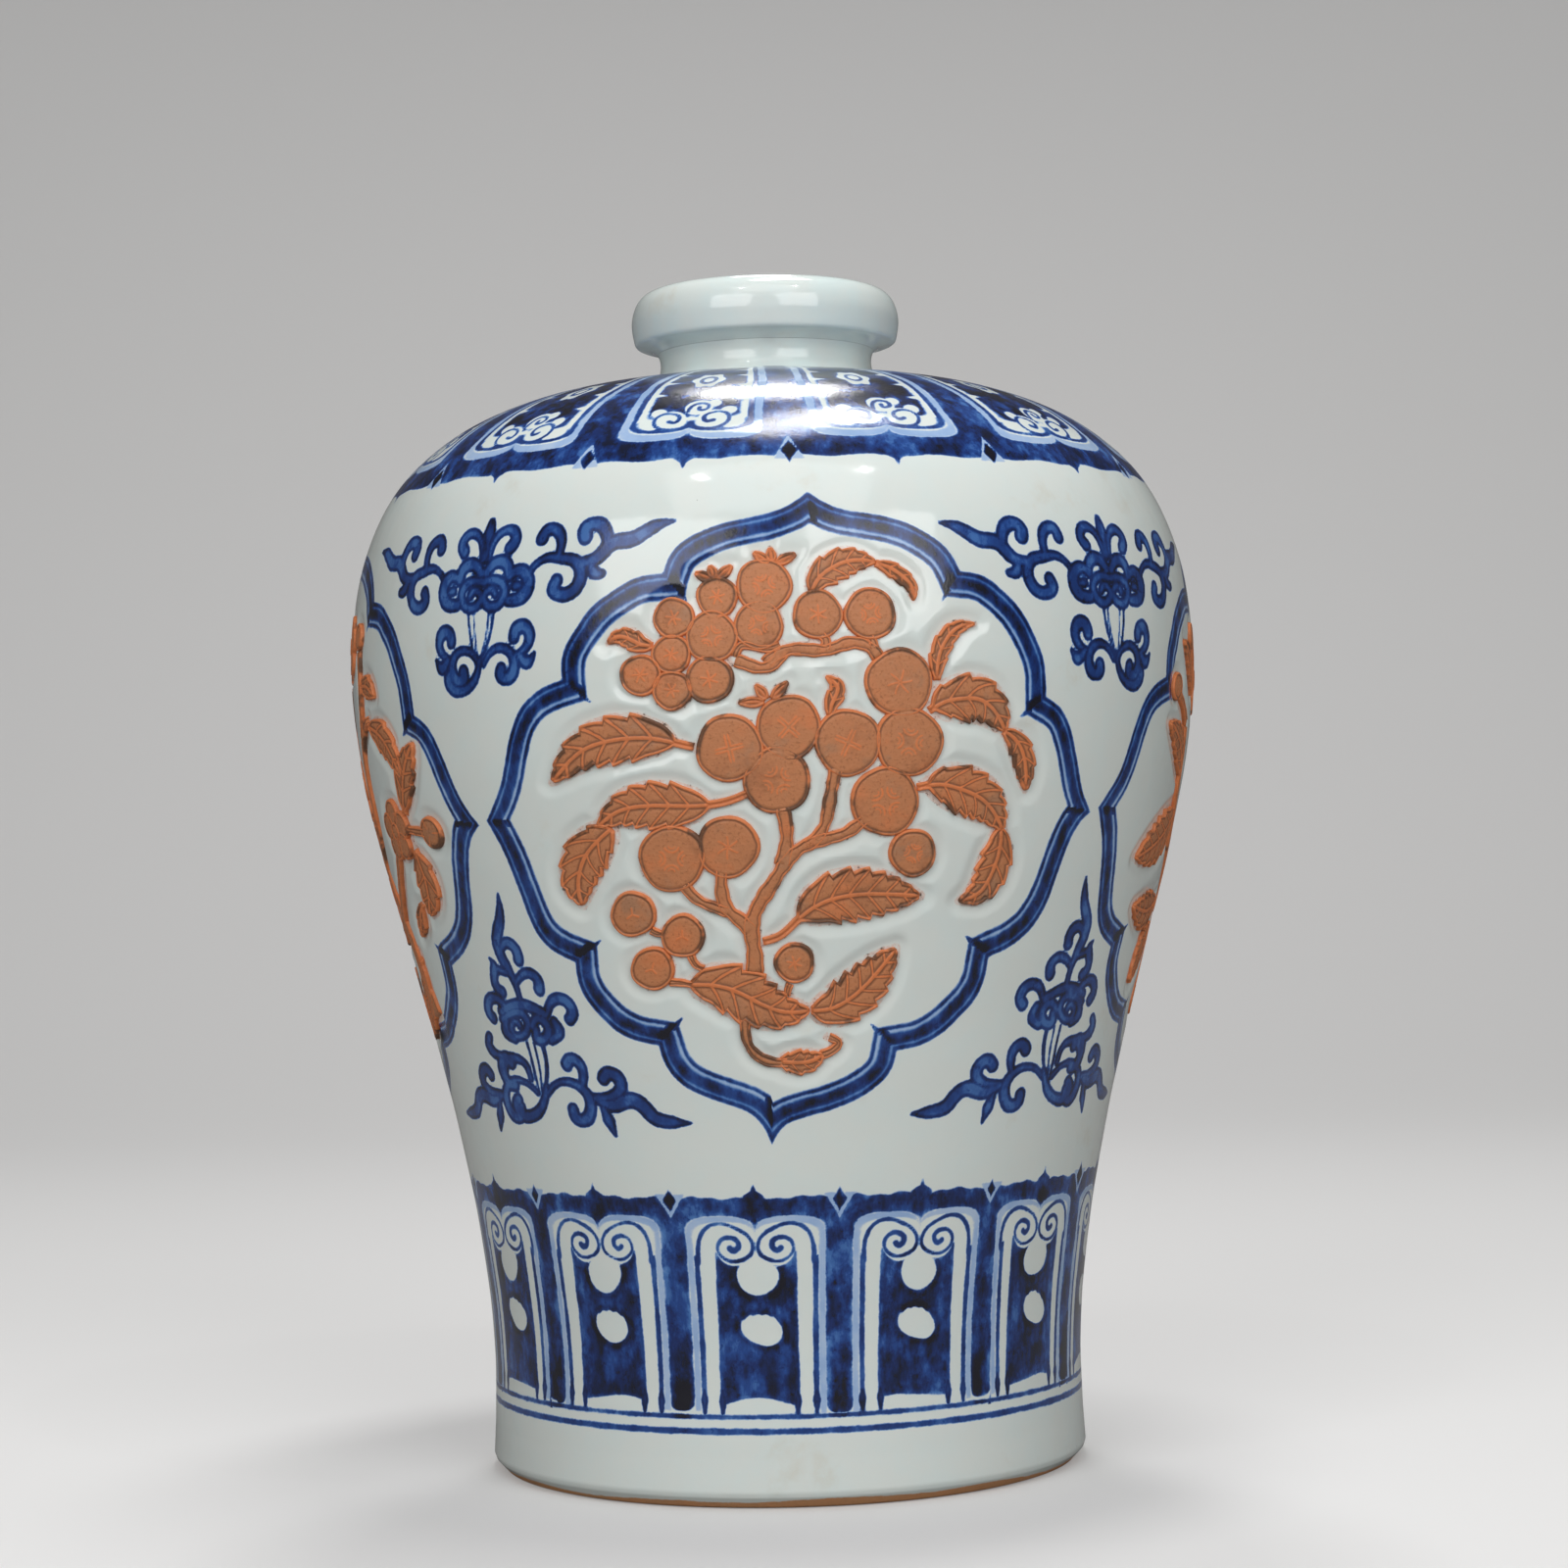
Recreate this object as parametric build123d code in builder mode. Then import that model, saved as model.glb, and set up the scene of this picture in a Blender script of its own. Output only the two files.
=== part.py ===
from build123d import *
import math
import os

# Meiping vase of porcelain, thrown in sections that are luted one on another,
# with press-moulded sprigs of bare clay laid in four sunk ogee panels.
# Millimetres, +Z up, origin at the centre of the foot on the table, front towards -Y.

# The outer curve of the wall, station by station from the waist to the foot of the neck
waist_radius = 100.0
waist_height = 28.0
rise_radius = 110.9
rise_height = 114.0
flare_radius = 127.8
flare_height = 182.0
belly_radius = 144.0
belly_height = 271.0
turn_radius = 125.8
turn_height = 334.0
slope_radius = 91.0
slope_height = 357.8
neck_foot_radius = 38.0
neck_foot_height = 369.0
shoulder_crown_share = 0.16

# The wall and the half-laps that lute its sections together
wall_thickness = 7.0
lap_height = 5.0
slip_film = 0.1
lower_joint_height = 148.0
upper_joint_height = 262.0

# The turned foot and the floor over its recess
foot_radius = 101.0
foot_edge_width = 4.5
foot_edge_height = 4.5
foot_ring_width = 13.0
recess_height = 7.0
floor_thickness = 9.0
floor_cove_radius = 6.0

# The neck, and the bore that runs up through it
bore_radius = 28.0
neck_radius = 36.3
neck_waist_height = 374.5
neck_top_radius = 37.0
neck_top_height = 378.5
spigot_radius = 32.5
neck_lap_height = 3.0

# The rolled mouth rim
lip_under_radius = 44.6
lip_under_height = 383.0
lip_radius = 46.0
lip_widest_height = 388.0
lip_shoulder_radius = 43.6
lip_shoulder_height = 396.0
mouth_top_radius = 36.0
vase_height = 400.0

# The four ogee panels, their sunk ground and the sprigs laid on it
panel_count = 4
panel_azimuth = 2.7
panel_centre_height = 216.0
panel_half_width = 95.0
panel_half_height = 100.0
frame_width_share = 0.06
ground_depth = 0.8
sprig_proud = 0.4

overrun = 10.0

# The ogee outline, one quarter: each point, then the middle of the arc that leads to the next
ogee_upper_shares = [
    (0.0, 1.0), (0.25, 0.92), (0.47, 0.76), (0.69, 0.64), (0.79, 0.41), (0.94, 0.24), (1.0, 0.0),
]
ogee_lower_shares = [
    (1.0, 0.0), (0.84, -0.24), (0.68, -0.43), (0.58, -0.61), (0.39, -0.70), (0.25, -0.85), (0.0, -1.0),
]

# Fruit spray: fruits as x, y and radius; x in half widths of the panel, y in half heights
fruit_shares = [
    (-0.24, 0.68, 0.067), (-0.09, 0.71, 0.090), (-0.38, 0.62, 0.067), (-0.26, 0.56, 0.084),
    (-0.11, 0.59, 0.080), (-0.39, 0.51, 0.064), (-0.49, 0.45, 0.067), (-0.39, 0.40, 0.064),
    (-0.27, 0.43, 0.077), (0.08, 0.62, 0.081), (0.25, 0.62, 0.085), (0.34, 0.41, 0.111),
    (-0.02, 0.28, 0.104), (0.17, 0.23, 0.108), (0.37, 0.23, 0.112), (-0.21, 0.22, 0.108),
    (-0.06, 0.12, 0.108), (0.29, 0.05, 0.112), (0.38, -0.11, 0.078), (-0.40, -0.11, 0.108),
    (-0.22, -0.08, 0.100), (-0.53, -0.28, 0.074), (-0.37, -0.35, 0.071), (-0.47, -0.45, 0.071),
    (-0.01, -0.44, 0.066),
]

# Leaves as base x, y, tip x, y, width and bend to the left of the way to the tip
fruit_leaf_shares = [
    (-0.44, 0.54, -0.61, 0.56, 0.09, 0.01), (-0.30, 0.23, -0.79, 0.14, 0.19, -0.03),
    (-0.20, 0.07, -0.67, 0.00, 0.18, -0.04), (-0.60, 0.01, -0.69, -0.25, 0.16, -0.01),
    (0.06, 0.69, 0.40, 0.64, 0.13, 0.10), (0.47, 0.42, 0.60, 0.59, 0.09, 0.02),
    (0.43, 0.30, 0.77, 0.06, 0.18, 0.06), (0.40, 0.07, 0.72, -0.03, 0.16, 0.06),
    (0.70, 0.00, 0.54, -0.26, 0.14, 0.06), (0.11, 0.31, 0.10, 0.44, 0.07, 0.0),
    (-0.08, -0.34, 0.41, -0.23, 0.16, 0.05), (-0.34, -0.49, 0.05, -0.60, 0.18, 0.0),
    (0.05, -0.60, 0.32, -0.39, 0.15, -0.01),
]

# Branches as a width and the points that the stroke passes
fruit_branch_shares = [
    (0.050, [(-0.14, -0.52), (-0.14, -0.33), (-0.11, -0.16), (-0.04, -0.07), (-0.05, 0.03)]),
    (0.040, [(-0.14, -0.33), (-0.21, -0.23), (-0.23, -0.15)]),
    (0.035, [(-0.21, -0.23), (-0.28, -0.20), (-0.36, -0.20)]),
    (0.040, [(-0.04, -0.07), (0.07, -0.06), (0.11, 0.03), (0.11, 0.14)]),
    (0.035, [(0.07, -0.06), (0.15, -0.04), (0.22, 0.0)]),
    (0.040, [(-0.20, 0.47), (-0.08, 0.50), (0.08, 0.51), (0.21, 0.53), (0.28, 0.47)]),
    (0.030, [(0.09, 0.51), (0.10, 0.54), (0.09, 0.57)]),
    (0.030, [(-0.15, 0.10), (-0.22, 0.06), (-0.30, 0.04)]),
    (0.035, [(-0.17, -0.60), (-0.15, -0.71), (-0.04, -0.75), (0.14, -0.69)]),
    (0.040, [(-0.05, -0.74), (0.0, -0.77), (0.05, -0.78)]),
    (0.025, [(-0.47, -0.31), (-0.44, -0.33), (-0.42, -0.34)]),
    (0.025, [(-0.37, -0.41), (-0.34, -0.45), (-0.28, -0.48)]),
    (0.025, [(-0.01, -0.50), (-0.02, -0.53), (-0.05, -0.56)]),
]
crown_shares = [(-0.24, 0.73), (-0.07, 0.78), (-0.09, 0.35)]
crown_length_share = 0.09
crown_fan = 48.0

# Blossom branch of the side panels: blossoms, buds, leaves and branches in the same shares
blossom_shares = [
    (0.53, 0.00, 0.11), (-0.17, 0.46, 0.14), (0.17, 0.63, 0.11), (-0.08, -0.22, 0.13),
    (0.02, 0.14, 0.12),
]
bud_shares = [
    (0.78, -0.01, 0.055), (0.37, 0.65, 0.05), (-0.36, 0.60, 0.05), (-0.62, 0.42, 0.05),
    (-0.20, -0.62, 0.055),
]
blossom_leaf_shares = [
    (0.45, 0.35, 0.69, 0.17, 0.12, 0.05), (0.64, 0.05, 0.80, 0.28, 0.12, 0.02),
    (0.64, -0.06, 0.60, -0.28, 0.14, 0.03), (0.55, -0.24, 0.46, -0.35, 0.07, 0.0),
    (0.35, -0.42, 0.16, -0.70, 0.13, 0.02), (0.40, 0.48, 0.56, 0.44, 0.09, 0.02),
    (-0.40, 0.12, -0.66, 0.30, 0.12, -0.03), (-0.36, 0.02, -0.72, -0.14, 0.18, 0.02),
    (-0.30, -0.28, -0.62, -0.30, 0.14, 0.03), (-0.28, -0.36, -0.44, -0.56, 0.13, -0.02),
    (0.00, 0.70, -0.16, 0.82, 0.10, -0.02), (-0.36, 0.40, -0.52, 0.58, 0.09, -0.02),
    (0.10, -0.46, -0.06, -0.74, 0.12, -0.02),
]
blossom_branch_shares = [
    (0.075, [(0.34, -0.62), (0.25, -0.32), (0.12, -0.05), (0.00, 0.28), (0.06, 0.50)]),
    (0.045, [(0.24, -0.30), (0.02, -0.36), (-0.22, -0.20), (-0.38, 0.02), (-0.44, 0.30)]),
    (0.040, [(0.17, -0.14), (0.27, 0.10), (0.33, 0.30), (0.45, 0.37)]),
    (0.035, [(0.25, -0.30), (0.40, -0.16), (0.50, -0.05)]),
    (0.030, [(0.56, 0.01), (0.66, 0.00), (0.75, -0.01)]),
    (0.035, [(0.33, 0.30), (0.38, 0.46), (0.38, 0.61)]),
    (0.035, [(0.00, 0.28), (-0.09, 0.38), (-0.15, 0.44)]),
    (0.030, [(0.06, 0.50), (0.03, 0.62), (-0.02, 0.72)]),
    (0.030, [(-0.17, 0.46), (-0.28, 0.50), (-0.35, 0.57)]),
    (0.030, [(-0.44, 0.30), (-0.52, 0.36), (-0.60, 0.40)]),
    (0.030, [(-0.10, -0.32), (-0.16, -0.46), (-0.19, -0.58)]),
]
petal_count = 5
petal_reach_share = 0.56
petal_radius_share = 0.46


def moved_curve(depth):
    """The wall's outer curve with each station moved inwards by depth, square to the curve."""
    outer = Spline(*wall_stations, tangents=wall_ends, mode=Mode.PRIVATE)
    moved = []
    for station in wall_stations:
        along = outer.tangent_at(Vector(*station))
        moved.append(Vector(*station) + Vector(-along.Y, along.X) * depth)
    return moved


def wall_radius(height):
    """The radius of the wall's outer curve at a height, read off the curve itself."""
    outer = Spline(*wall_stations, tangents=wall_ends, mode=Mode.PRIVATE)
    level = Line((0, height), (belly_radius + overrun, height), mode=Mode.PRIVATE)
    return outer.intersect(level).vertices()[0].X


def shell(outer_depth, inner_depth):
    """The skin between two curves that run along the wall at two depths."""
    with BuildPart() as skin:
        with BuildSketch(Plane.XZ):
            with BuildLine():
                outside = Spline(*moved_curve(outer_depth), tangents=wall_ends)
                inside = Spline(*moved_curve(inner_depth), tangents=wall_ends)
                Line(outside @ 0, inside @ 0)
                Line(outside @ 1, inside @ 1)
            make_face()
        revolve(axis=Axis.Z)
    return skin.part


def lap_band(low, high, low_radius, high_radius):
    """The ring of space from low to high that one thrown section takes, with its half-laps."""
    low_lap = low_radius - wall_thickness / 2
    high_lap = high_radius - wall_thickness / 2
    with BuildPart() as band:
        with BuildSketch(Plane.XZ):
            with BuildLine():
                Polyline(
                    (0, low + lap_height),
                    (low_lap + slip_film, low + lap_height),
                    (low_lap + slip_film, low),
                    (belly_radius + overrun, low),
                    (belly_radius + overrun, high),
                    (high_lap, high),
                    (high_lap, high + lap_height),
                    (0, high + lap_height),
                    close=True,
                )
            make_face()
        revolve(axis=Axis.Z)
    return band.part


def panel_point(share):
    """A point of the panel's own plane, from its shares of the half width and half height."""
    return Vector(share[0] * panel_half_width, share[1] * panel_half_height)


def ogee_outline(scale_share):
    """The ogee frame of a panel: three arcs a quarter, meeting in cusps and pointed tips."""
    right = ogee_upper_shares + ogee_lower_shares[1:]
    left = [(-x, y) for x, y in reversed(right[:-1])]
    stops = [panel_point(share) * scale_share for share in right + left]
    with BuildSketch() as outline:
        with BuildLine():
            for first in range(0, len(stops) - 1, 2):
                ThreePointArc(stops[first], stops[first + 1], stops[first + 2])
        make_face()
    return outline.sketch


def discs(places):
    """Round sprigs from their places and radii."""
    with BuildSketch() as round_sprigs:
        for x_share, y_share, radius_share in places:
            with Locations(panel_point((x_share, y_share))):
                Circle(radius_share * panel_half_width)
    return round_sprigs.sketch


def blade(base, tip, width, bend):
    """A leaf blade: two arcs from base to tip, both pushed sideways by its bend."""
    way = tip - base
    side = Vector(-way.Y, way.X).normalized()
    middle = (base + tip) * 0.5
    with BuildSketch() as outline:
        with BuildLine():
            ThreePointArc(base, middle + side * (bend + width / 2), tip)
            ThreePointArc(tip, middle + side * (bend - width / 2), base)
        make_face()
    return outline.sketch


def blades(places):
    """Leaf blades from their bases, tips, widths and bends."""
    with BuildSketch() as leaves:
        for base_x, base_y, tip_x, tip_y, width_share, bend_share in places:
            add(blade(
                panel_point((base_x, base_y)),
                panel_point((tip_x, tip_y)),
                width_share * panel_half_width,
                bend_share * panel_half_width,
            ))
    return leaves.sketch


def strokes(places):
    """Branches: round-sided strokes of one width each along a smooth line."""
    with BuildSketch() as branches:
        for width_share, stops in places:
            with BuildLine() as path:
                Spline(*[panel_point(stop) for stop in stops])
            trace(path.line, line_width=width_share * panel_half_width)
    return branches.sketch


def crowns(places):
    """The calyx crown on a fruit: three short blades that fan out from one point."""
    with BuildSketch() as calyxes:
        for place in places:
            root = panel_point(place)
            for turn in (-crown_fan, 0, crown_fan):
                way = Vector(math.sin(math.radians(turn)), math.cos(math.radians(turn)))
                length = crown_length_share * panel_half_width
                add(blade(root, root + way * length, length / 2, 0))
    return calyxes.sketch


def flowers(places):
    """Open blossoms: five round petals about a round heart."""
    with BuildSketch() as open_flowers:
        for x_share, y_share, radius_share in places:
            radius = radius_share * panel_half_width
            with Locations(panel_point((x_share, y_share))):
                Circle(radius * petal_radius_share)
                with PolarLocations(radius * petal_reach_share, petal_count, 90):
                    Circle(radius * petal_radius_share)
    return open_flowers.sketch


def pressed(outline, *over):
    """A sprig pressed from an outline, less the sprigs laid over it, fitted to the sunk ground."""
    with BuildPart() as sprig:
        with BuildSketch(panel_plane):
            add(outline)
            for upper in over:
                add(upper, mode=Mode.SUBTRACT)
        extrude(amount=belly_radius + overrun)
        add(relief_skin, mode=Mode.INTERSECT)
    return sprig.part


wall_stations = [
    (waist_radius, waist_height),
    (rise_radius, rise_height),
    (flare_radius, flare_height),
    (belly_radius, belly_height),
    (turn_radius, turn_height),
    (slope_radius, slope_height),
    (neck_foot_radius, neck_foot_height),
]
wall_ends = [(0, 1), (-1, shoulder_crown_share)]
panel_plane = Plane(origin=(0, 0, panel_centre_height), x_dir=(1, 0, 0), z_dir=(0, -1, 0))
panel_turns = [panel_azimuth + 360 / panel_count * step for step in range(panel_count)]

# The whole wall, from which the three thrown sections are taken
inner_stations = moved_curve(wall_thickness)
with BuildPart() as whole_wall:
    with BuildSketch(Plane.XZ):
        with BuildLine():
            outside = Spline(*wall_stations, tangents=wall_ends)
            inside = Spline(*inner_stations, tangents=wall_ends)
            Polyline(
                outside @ 1,
                (spigot_radius, neck_foot_height),
                (spigot_radius, inner_stations[-1].Y),
                inside @ 1,
            )
            Line(outside @ 0, inside @ 0)
        make_face()
    revolve(axis=Axis.Z)

# The sunk ground of the panels: everything outside the ground's own skin within four ogees
with BuildPart() as sunk_ground:
    with BuildSketch(panel_plane):
        add(ogee_outline(1 - frame_width_share))
    extrude(amount=belly_radius + overrun)
    add(shell(-overrun / 2, ground_depth), mode=Mode.INTERSECT)
relief_skin = shell(-sprig_proud, ground_depth - slip_film)

# Foot and floor: a turned ring with a bevelled bare edge, and the floor over its recess
foot_lap_radius = waist_radius - wall_thickness / 2
floor_top = recess_height + floor_thickness
with BuildPart() as foot_and_floor:
    with BuildSketch(Plane.XZ):
        with BuildLine():
            Polyline(
                (0, recess_height),
                (foot_radius - foot_ring_width - foot_edge_width, recess_height),
                (foot_radius - foot_ring_width, 0),
                (foot_radius - foot_edge_width, 0),
                (foot_radius, foot_edge_height),
                (waist_radius, waist_height),
                (foot_lap_radius, waist_height),
                (foot_lap_radius, waist_height + lap_height),
                (waist_radius - wall_thickness, waist_height + lap_height),
                (waist_radius - wall_thickness, floor_top),
                (0, floor_top),
                close=True,
            )
        make_face()
        floor_corner = (waist_radius - wall_thickness, 0, floor_top)
        fillet(vertices().sort_by_distance(floor_corner)[0], floor_cove_radius)
    revolve(axis=Axis.Z)
foot_and_floor.part.label = "foot_and_floor"
export_step(foot_and_floor.part, "parts/foot_and_floor.step")

# The three thrown sections of the wall, luted at two half-laps, with the panels sunk across them
section_names = ["lower_body", "belly", "shoulder"]
joint_heights = [waist_height, lower_joint_height, upper_joint_height, neck_foot_height]
joint_radii = [
    waist_radius,
    wall_radius(lower_joint_height),
    wall_radius(upper_joint_height),
    neck_foot_radius,
]
for step, section_name in enumerate(section_names):
    section_band = lap_band(*joint_heights[step:step + 2], *joint_radii[step:step + 2])
    with BuildPart() as section:
        add(whole_wall.part)
        add(section_band, mode=Mode.INTERSECT)
        for turn in panel_turns:
            add(sunk_ground.part, rotation=(0, 0, turn), mode=Mode.SUBTRACT)
    section.part.label = section_name
    export_step(section.part, f"parts/{section_name}.step")

# Neck: a short waisted collar whose spigot drops into the shoulder's hole
with BuildPart() as neck:
    with BuildSketch(Plane.XZ):
        with BuildLine():
            spigot_bottom = inner_stations[-1].Y
            Polyline(
                (neck_foot_radius, neck_foot_height),
                (spigot_radius - slip_film, neck_foot_height),
                (spigot_radius - slip_film, spigot_bottom),
                (bore_radius, spigot_bottom),
                (bore_radius, neck_top_height + neck_lap_height),
                (spigot_radius, neck_top_height + neck_lap_height),
                (spigot_radius, neck_top_height),
                (neck_top_radius, neck_top_height),
            )
            ThreePointArc(
                (neck_top_radius, neck_top_height),
                (neck_radius, neck_waist_height),
                (neck_foot_radius, neck_foot_height),
            )
        make_face()
    revolve(axis=Axis.Z)
neck.part.label = "neck"
export_step(neck.part, "parts/neck.step")

# Mouth rim: a rolled lip with a cove under it, on the neck's half-lap; the bore rolls open a quarter turn
bore_top_height = vase_height - (mouth_top_radius - bore_radius)
with BuildPart() as mouth_rim:
    with BuildSketch(Plane.XZ):
        with BuildLine():
            Polyline(
                (neck_top_radius, neck_top_height),
                (spigot_radius + slip_film, neck_top_height),
                (spigot_radius + slip_film, neck_top_height + neck_lap_height),
                (bore_radius, neck_top_height + neck_lap_height),
                (bore_radius, bore_top_height),
            )
            roll_inside = TangentArc(
                (bore_radius, bore_top_height), (mouth_top_radius, vase_height), tangent=(0, 1)
            )
            lip_top = TangentArc(
                roll_inside @ 1, (lip_shoulder_radius, lip_shoulder_height), tangent=(1, 0)
            )
            lip_side = ThreePointArc(
                lip_top @ 1, (lip_radius, lip_widest_height), (lip_under_radius, lip_under_height)
            )
            Line(lip_side @ 1, (neck_top_radius, neck_top_height))
        make_face()
    revolve(axis=Axis.Z)
mouth_rim.part.label = "mouth_rim"
export_step(mouth_rim.part, "parts/mouth_rim.step")

# The sprigs of the fruit spray, then those of the blossom branch, each pressed once
fruit_outline = discs(fruit_shares)
crown_outline = crowns(crown_shares)
fruit_leaf_outline = blades(fruit_leaf_shares)
fruit_spray = {
    "fruits": pressed(fruit_outline),
    "calyxes": pressed(crown_outline, fruit_outline),
    "leaves": pressed(fruit_leaf_outline, fruit_outline, crown_outline),
    "branches": pressed(strokes(fruit_branch_shares), fruit_outline, crown_outline, fruit_leaf_outline),
}
blossom_outline = flowers(blossom_shares)
bud_outline = discs(bud_shares)
blossom_leaf_outline = blades(blossom_leaf_shares)
blossom_spray = {
    "blossoms": pressed(blossom_outline),
    "buds": pressed(bud_outline, blossom_outline),
    "leaves": pressed(blossom_leaf_outline, blossom_outline, bud_outline),
    "branches": pressed(strokes(blossom_branch_shares), blossom_outline, bud_outline, blossom_leaf_outline),
}

# Front and back panels carry the fruit spray, the two side panels the blossom branch
panel_sprays = {
    "front": fruit_spray,
    "right": blossom_spray,
    "back": fruit_spray,
    "left": blossom_spray,
}
for (side_name, spray), turn in zip(panel_sprays.items(), panel_turns):
    for kind, sprig_part in spray.items():
        with BuildPart() as laid_sprig:
            add(sprig_part, rotation=(0, 0, turn))
        laid_sprig.part.label = f"{kind}_{side_name}"
        export_step(laid_sprig.part, f"parts/{kind}_{side_name}.step")
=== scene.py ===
import math
import bpy
import numpy as np
from mathutils import Matrix, Vector


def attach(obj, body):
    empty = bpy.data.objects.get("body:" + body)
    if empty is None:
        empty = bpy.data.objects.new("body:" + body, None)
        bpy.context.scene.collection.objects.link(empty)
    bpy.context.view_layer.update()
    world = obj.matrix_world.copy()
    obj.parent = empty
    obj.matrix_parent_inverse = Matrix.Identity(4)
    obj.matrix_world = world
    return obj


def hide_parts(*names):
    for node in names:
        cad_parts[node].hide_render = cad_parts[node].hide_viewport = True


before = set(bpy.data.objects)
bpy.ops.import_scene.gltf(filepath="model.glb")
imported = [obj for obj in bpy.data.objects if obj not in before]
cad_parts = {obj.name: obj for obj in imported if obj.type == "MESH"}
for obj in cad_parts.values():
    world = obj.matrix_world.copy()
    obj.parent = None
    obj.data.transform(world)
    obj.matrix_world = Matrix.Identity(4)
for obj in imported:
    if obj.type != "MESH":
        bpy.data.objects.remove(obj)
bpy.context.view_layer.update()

# Foot and floor: the turned foot of the vase, a low porcelain ring with a bevelled bare edge and a
# glazed recess. It was turned with the lowest part of the wall, and only the edge that it stands on
# is free of glaze. Lengths are in mm from here on, and azimuths in degrees from -Y towards +X.
MM = 0.001
FOOT_COLUMNS = 480
WAIST_RADIUS, WAIST_HEIGHT = 100.0, 28.0
LOW_LINE_HEIGHT, HIGH_LINE_HEIGHT = 24.6, 29.2
FOOT_GLAZE_LINE = 3.2
FOOT_RING_INSIDE, FOOT_RING_TOP, FOOT_OUTSIDE = 84.0, 8.0, 99.0

GLAZE = (0.690, 0.730, 0.695)
GLAZE_THICK = (0.625, 0.745, 0.740)
GLAZE_STAIN = (0.560, 0.470, 0.340)
COBALT_WASH = (0.330, 0.460, 0.680)
COBALT_PALE = (0.066, 0.180, 0.450)
COBALT_SOFT = (0.015, 0.060, 0.250)
COBALT_FULL = (0.007, 0.024, 0.125)
COBALT_HEAVY = (0.005, 0.010, 0.038)
COBALT_HEAPED = (0.006, 0.006, 0.013)
CLAY_FACE = (0.490, 0.190, 0.078)
CLAY_GREY = (0.300, 0.180, 0.110)
CLAY_BRIGHT = (0.680, 0.190, 0.058)
CLAY_DARK = (0.150, 0.052, 0.022)
CLAY_OCHRE = (0.640, 0.360, 0.170)
CLAY_DIRT = (0.040, 0.030, 0.018)
PINHOLE = (0.080, 0.070, 0.060)
SHARP_TURN = 0.82


def new_piece(name, points, faces, marks=None, unit=MM):
    """A smooth mesh object from points, faces and one value per point for each mark."""
    mesh = bpy.data.meshes.new(name)
    mesh.from_pydata((points * unit).tolist(), [], faces)
    mesh.polygons.foreach_set("use_smooth", np.ones(len(mesh.polygons), bool))
    for mark, values in (marks or {}).items():
        layer = mesh.attributes.new(mark, "FLOAT", "POINT")
        layer.data.foreach_set("value", values.astype(np.float32))
    mesh.update()
    piece = bpy.data.objects.new(name, mesh)
    bpy.context.scene.collection.objects.link(piece)
    return piece


def grid_faces(rows, columns, around, closed=False, start=0):
    """Quads of a grid of points; around joins its last column to its first, closed its rows."""
    row, column = np.meshgrid(np.arange(rows if closed else rows - 1),
                              np.arange(columns if around else columns - 1), indexing="ij")
    onward, above = (column + 1) % columns, (row + 1) % rows
    return (start + np.stack([
        row * columns + column, row * columns + onward,
        above * columns + onward, above * columns + column,
    ], axis=-1)).reshape(-1, 4)


def revolved_mesh(name, radii, heights, azimuths, closed, marks):
    """A shell revolved from a profile: point = (r sin a, -r cos a, z) for each row and azimuth a.

    radii and heights are arrays of rows by columns; closed joins the last row to the first, and
    otherwise both ends are drawn together at a pole on the axis. Where the profile turns sharply
    the row's edges are marked sharp, so that a rim's flat doesn't bend the light on the wall.
    """
    rows, columns = radii.shape
    angle = np.radians(azimuths)[None, :]
    points = np.stack([radii * np.sin(angle), -radii * np.cos(angle), heights + 0 * angle], axis=-1)
    points = points.reshape(-1, 3)
    faces = grid_faces(rows, columns, True, closed).tolist()
    if not closed:
        around = np.arange(columns)
        onward, top, pole = (around + 1) % columns, (rows - 1) * columns, rows * columns
        points = np.concatenate([points, [[0, 0, heights[0, 0]], [0, 0, heights[-1, 0]]]])
        faces += np.stack([np.full(columns, pole), onward, around], -1).tolist()
        faces += np.stack([np.full(columns, pole + 1), top + around, top + onward], -1).tolist()
    poles = len(points) - rows * columns
    piece = new_piece(name, points, faces, {
        mark: np.append(values, [values.flat[-1]] * poles) for mark, values in marks.items()})
    profile = np.stack([radii[:, 0], heights[:, 0]], axis=-1)
    onwards = np.roll(profile, -1, axis=0) - profile
    onwards /= np.maximum(np.linalg.norm(onwards, axis=1), 1e-9)[:, None]
    turns = (onwards * np.roll(onwards, 1, axis=0)).sum(axis=1) < SHARP_TURN
    if not closed:
        turns[[0, -1]] = False
    edge_ends = np.empty(len(piece.data.edges) * 2, np.int32)
    piece.data.edges.foreach_get("vertices", edge_ends)
    edge_rows = np.minimum(edge_ends.reshape(-1, 2) // columns, rows - 1)
    sharp = (edge_rows[:, 0] == edge_rows[:, 1]) & turns[edge_rows[:, 0]]
    piece.data.edges.foreach_set("use_edge_sharp", sharp)
    piece.data.update()
    return piece


def placed(piece, material, node):
    """Gives a piece its material, hides the CAD part of its node, and hangs it on the root body."""
    piece.data.materials.append(material)
    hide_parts(node)
    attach(piece, "root")
    return piece


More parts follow.
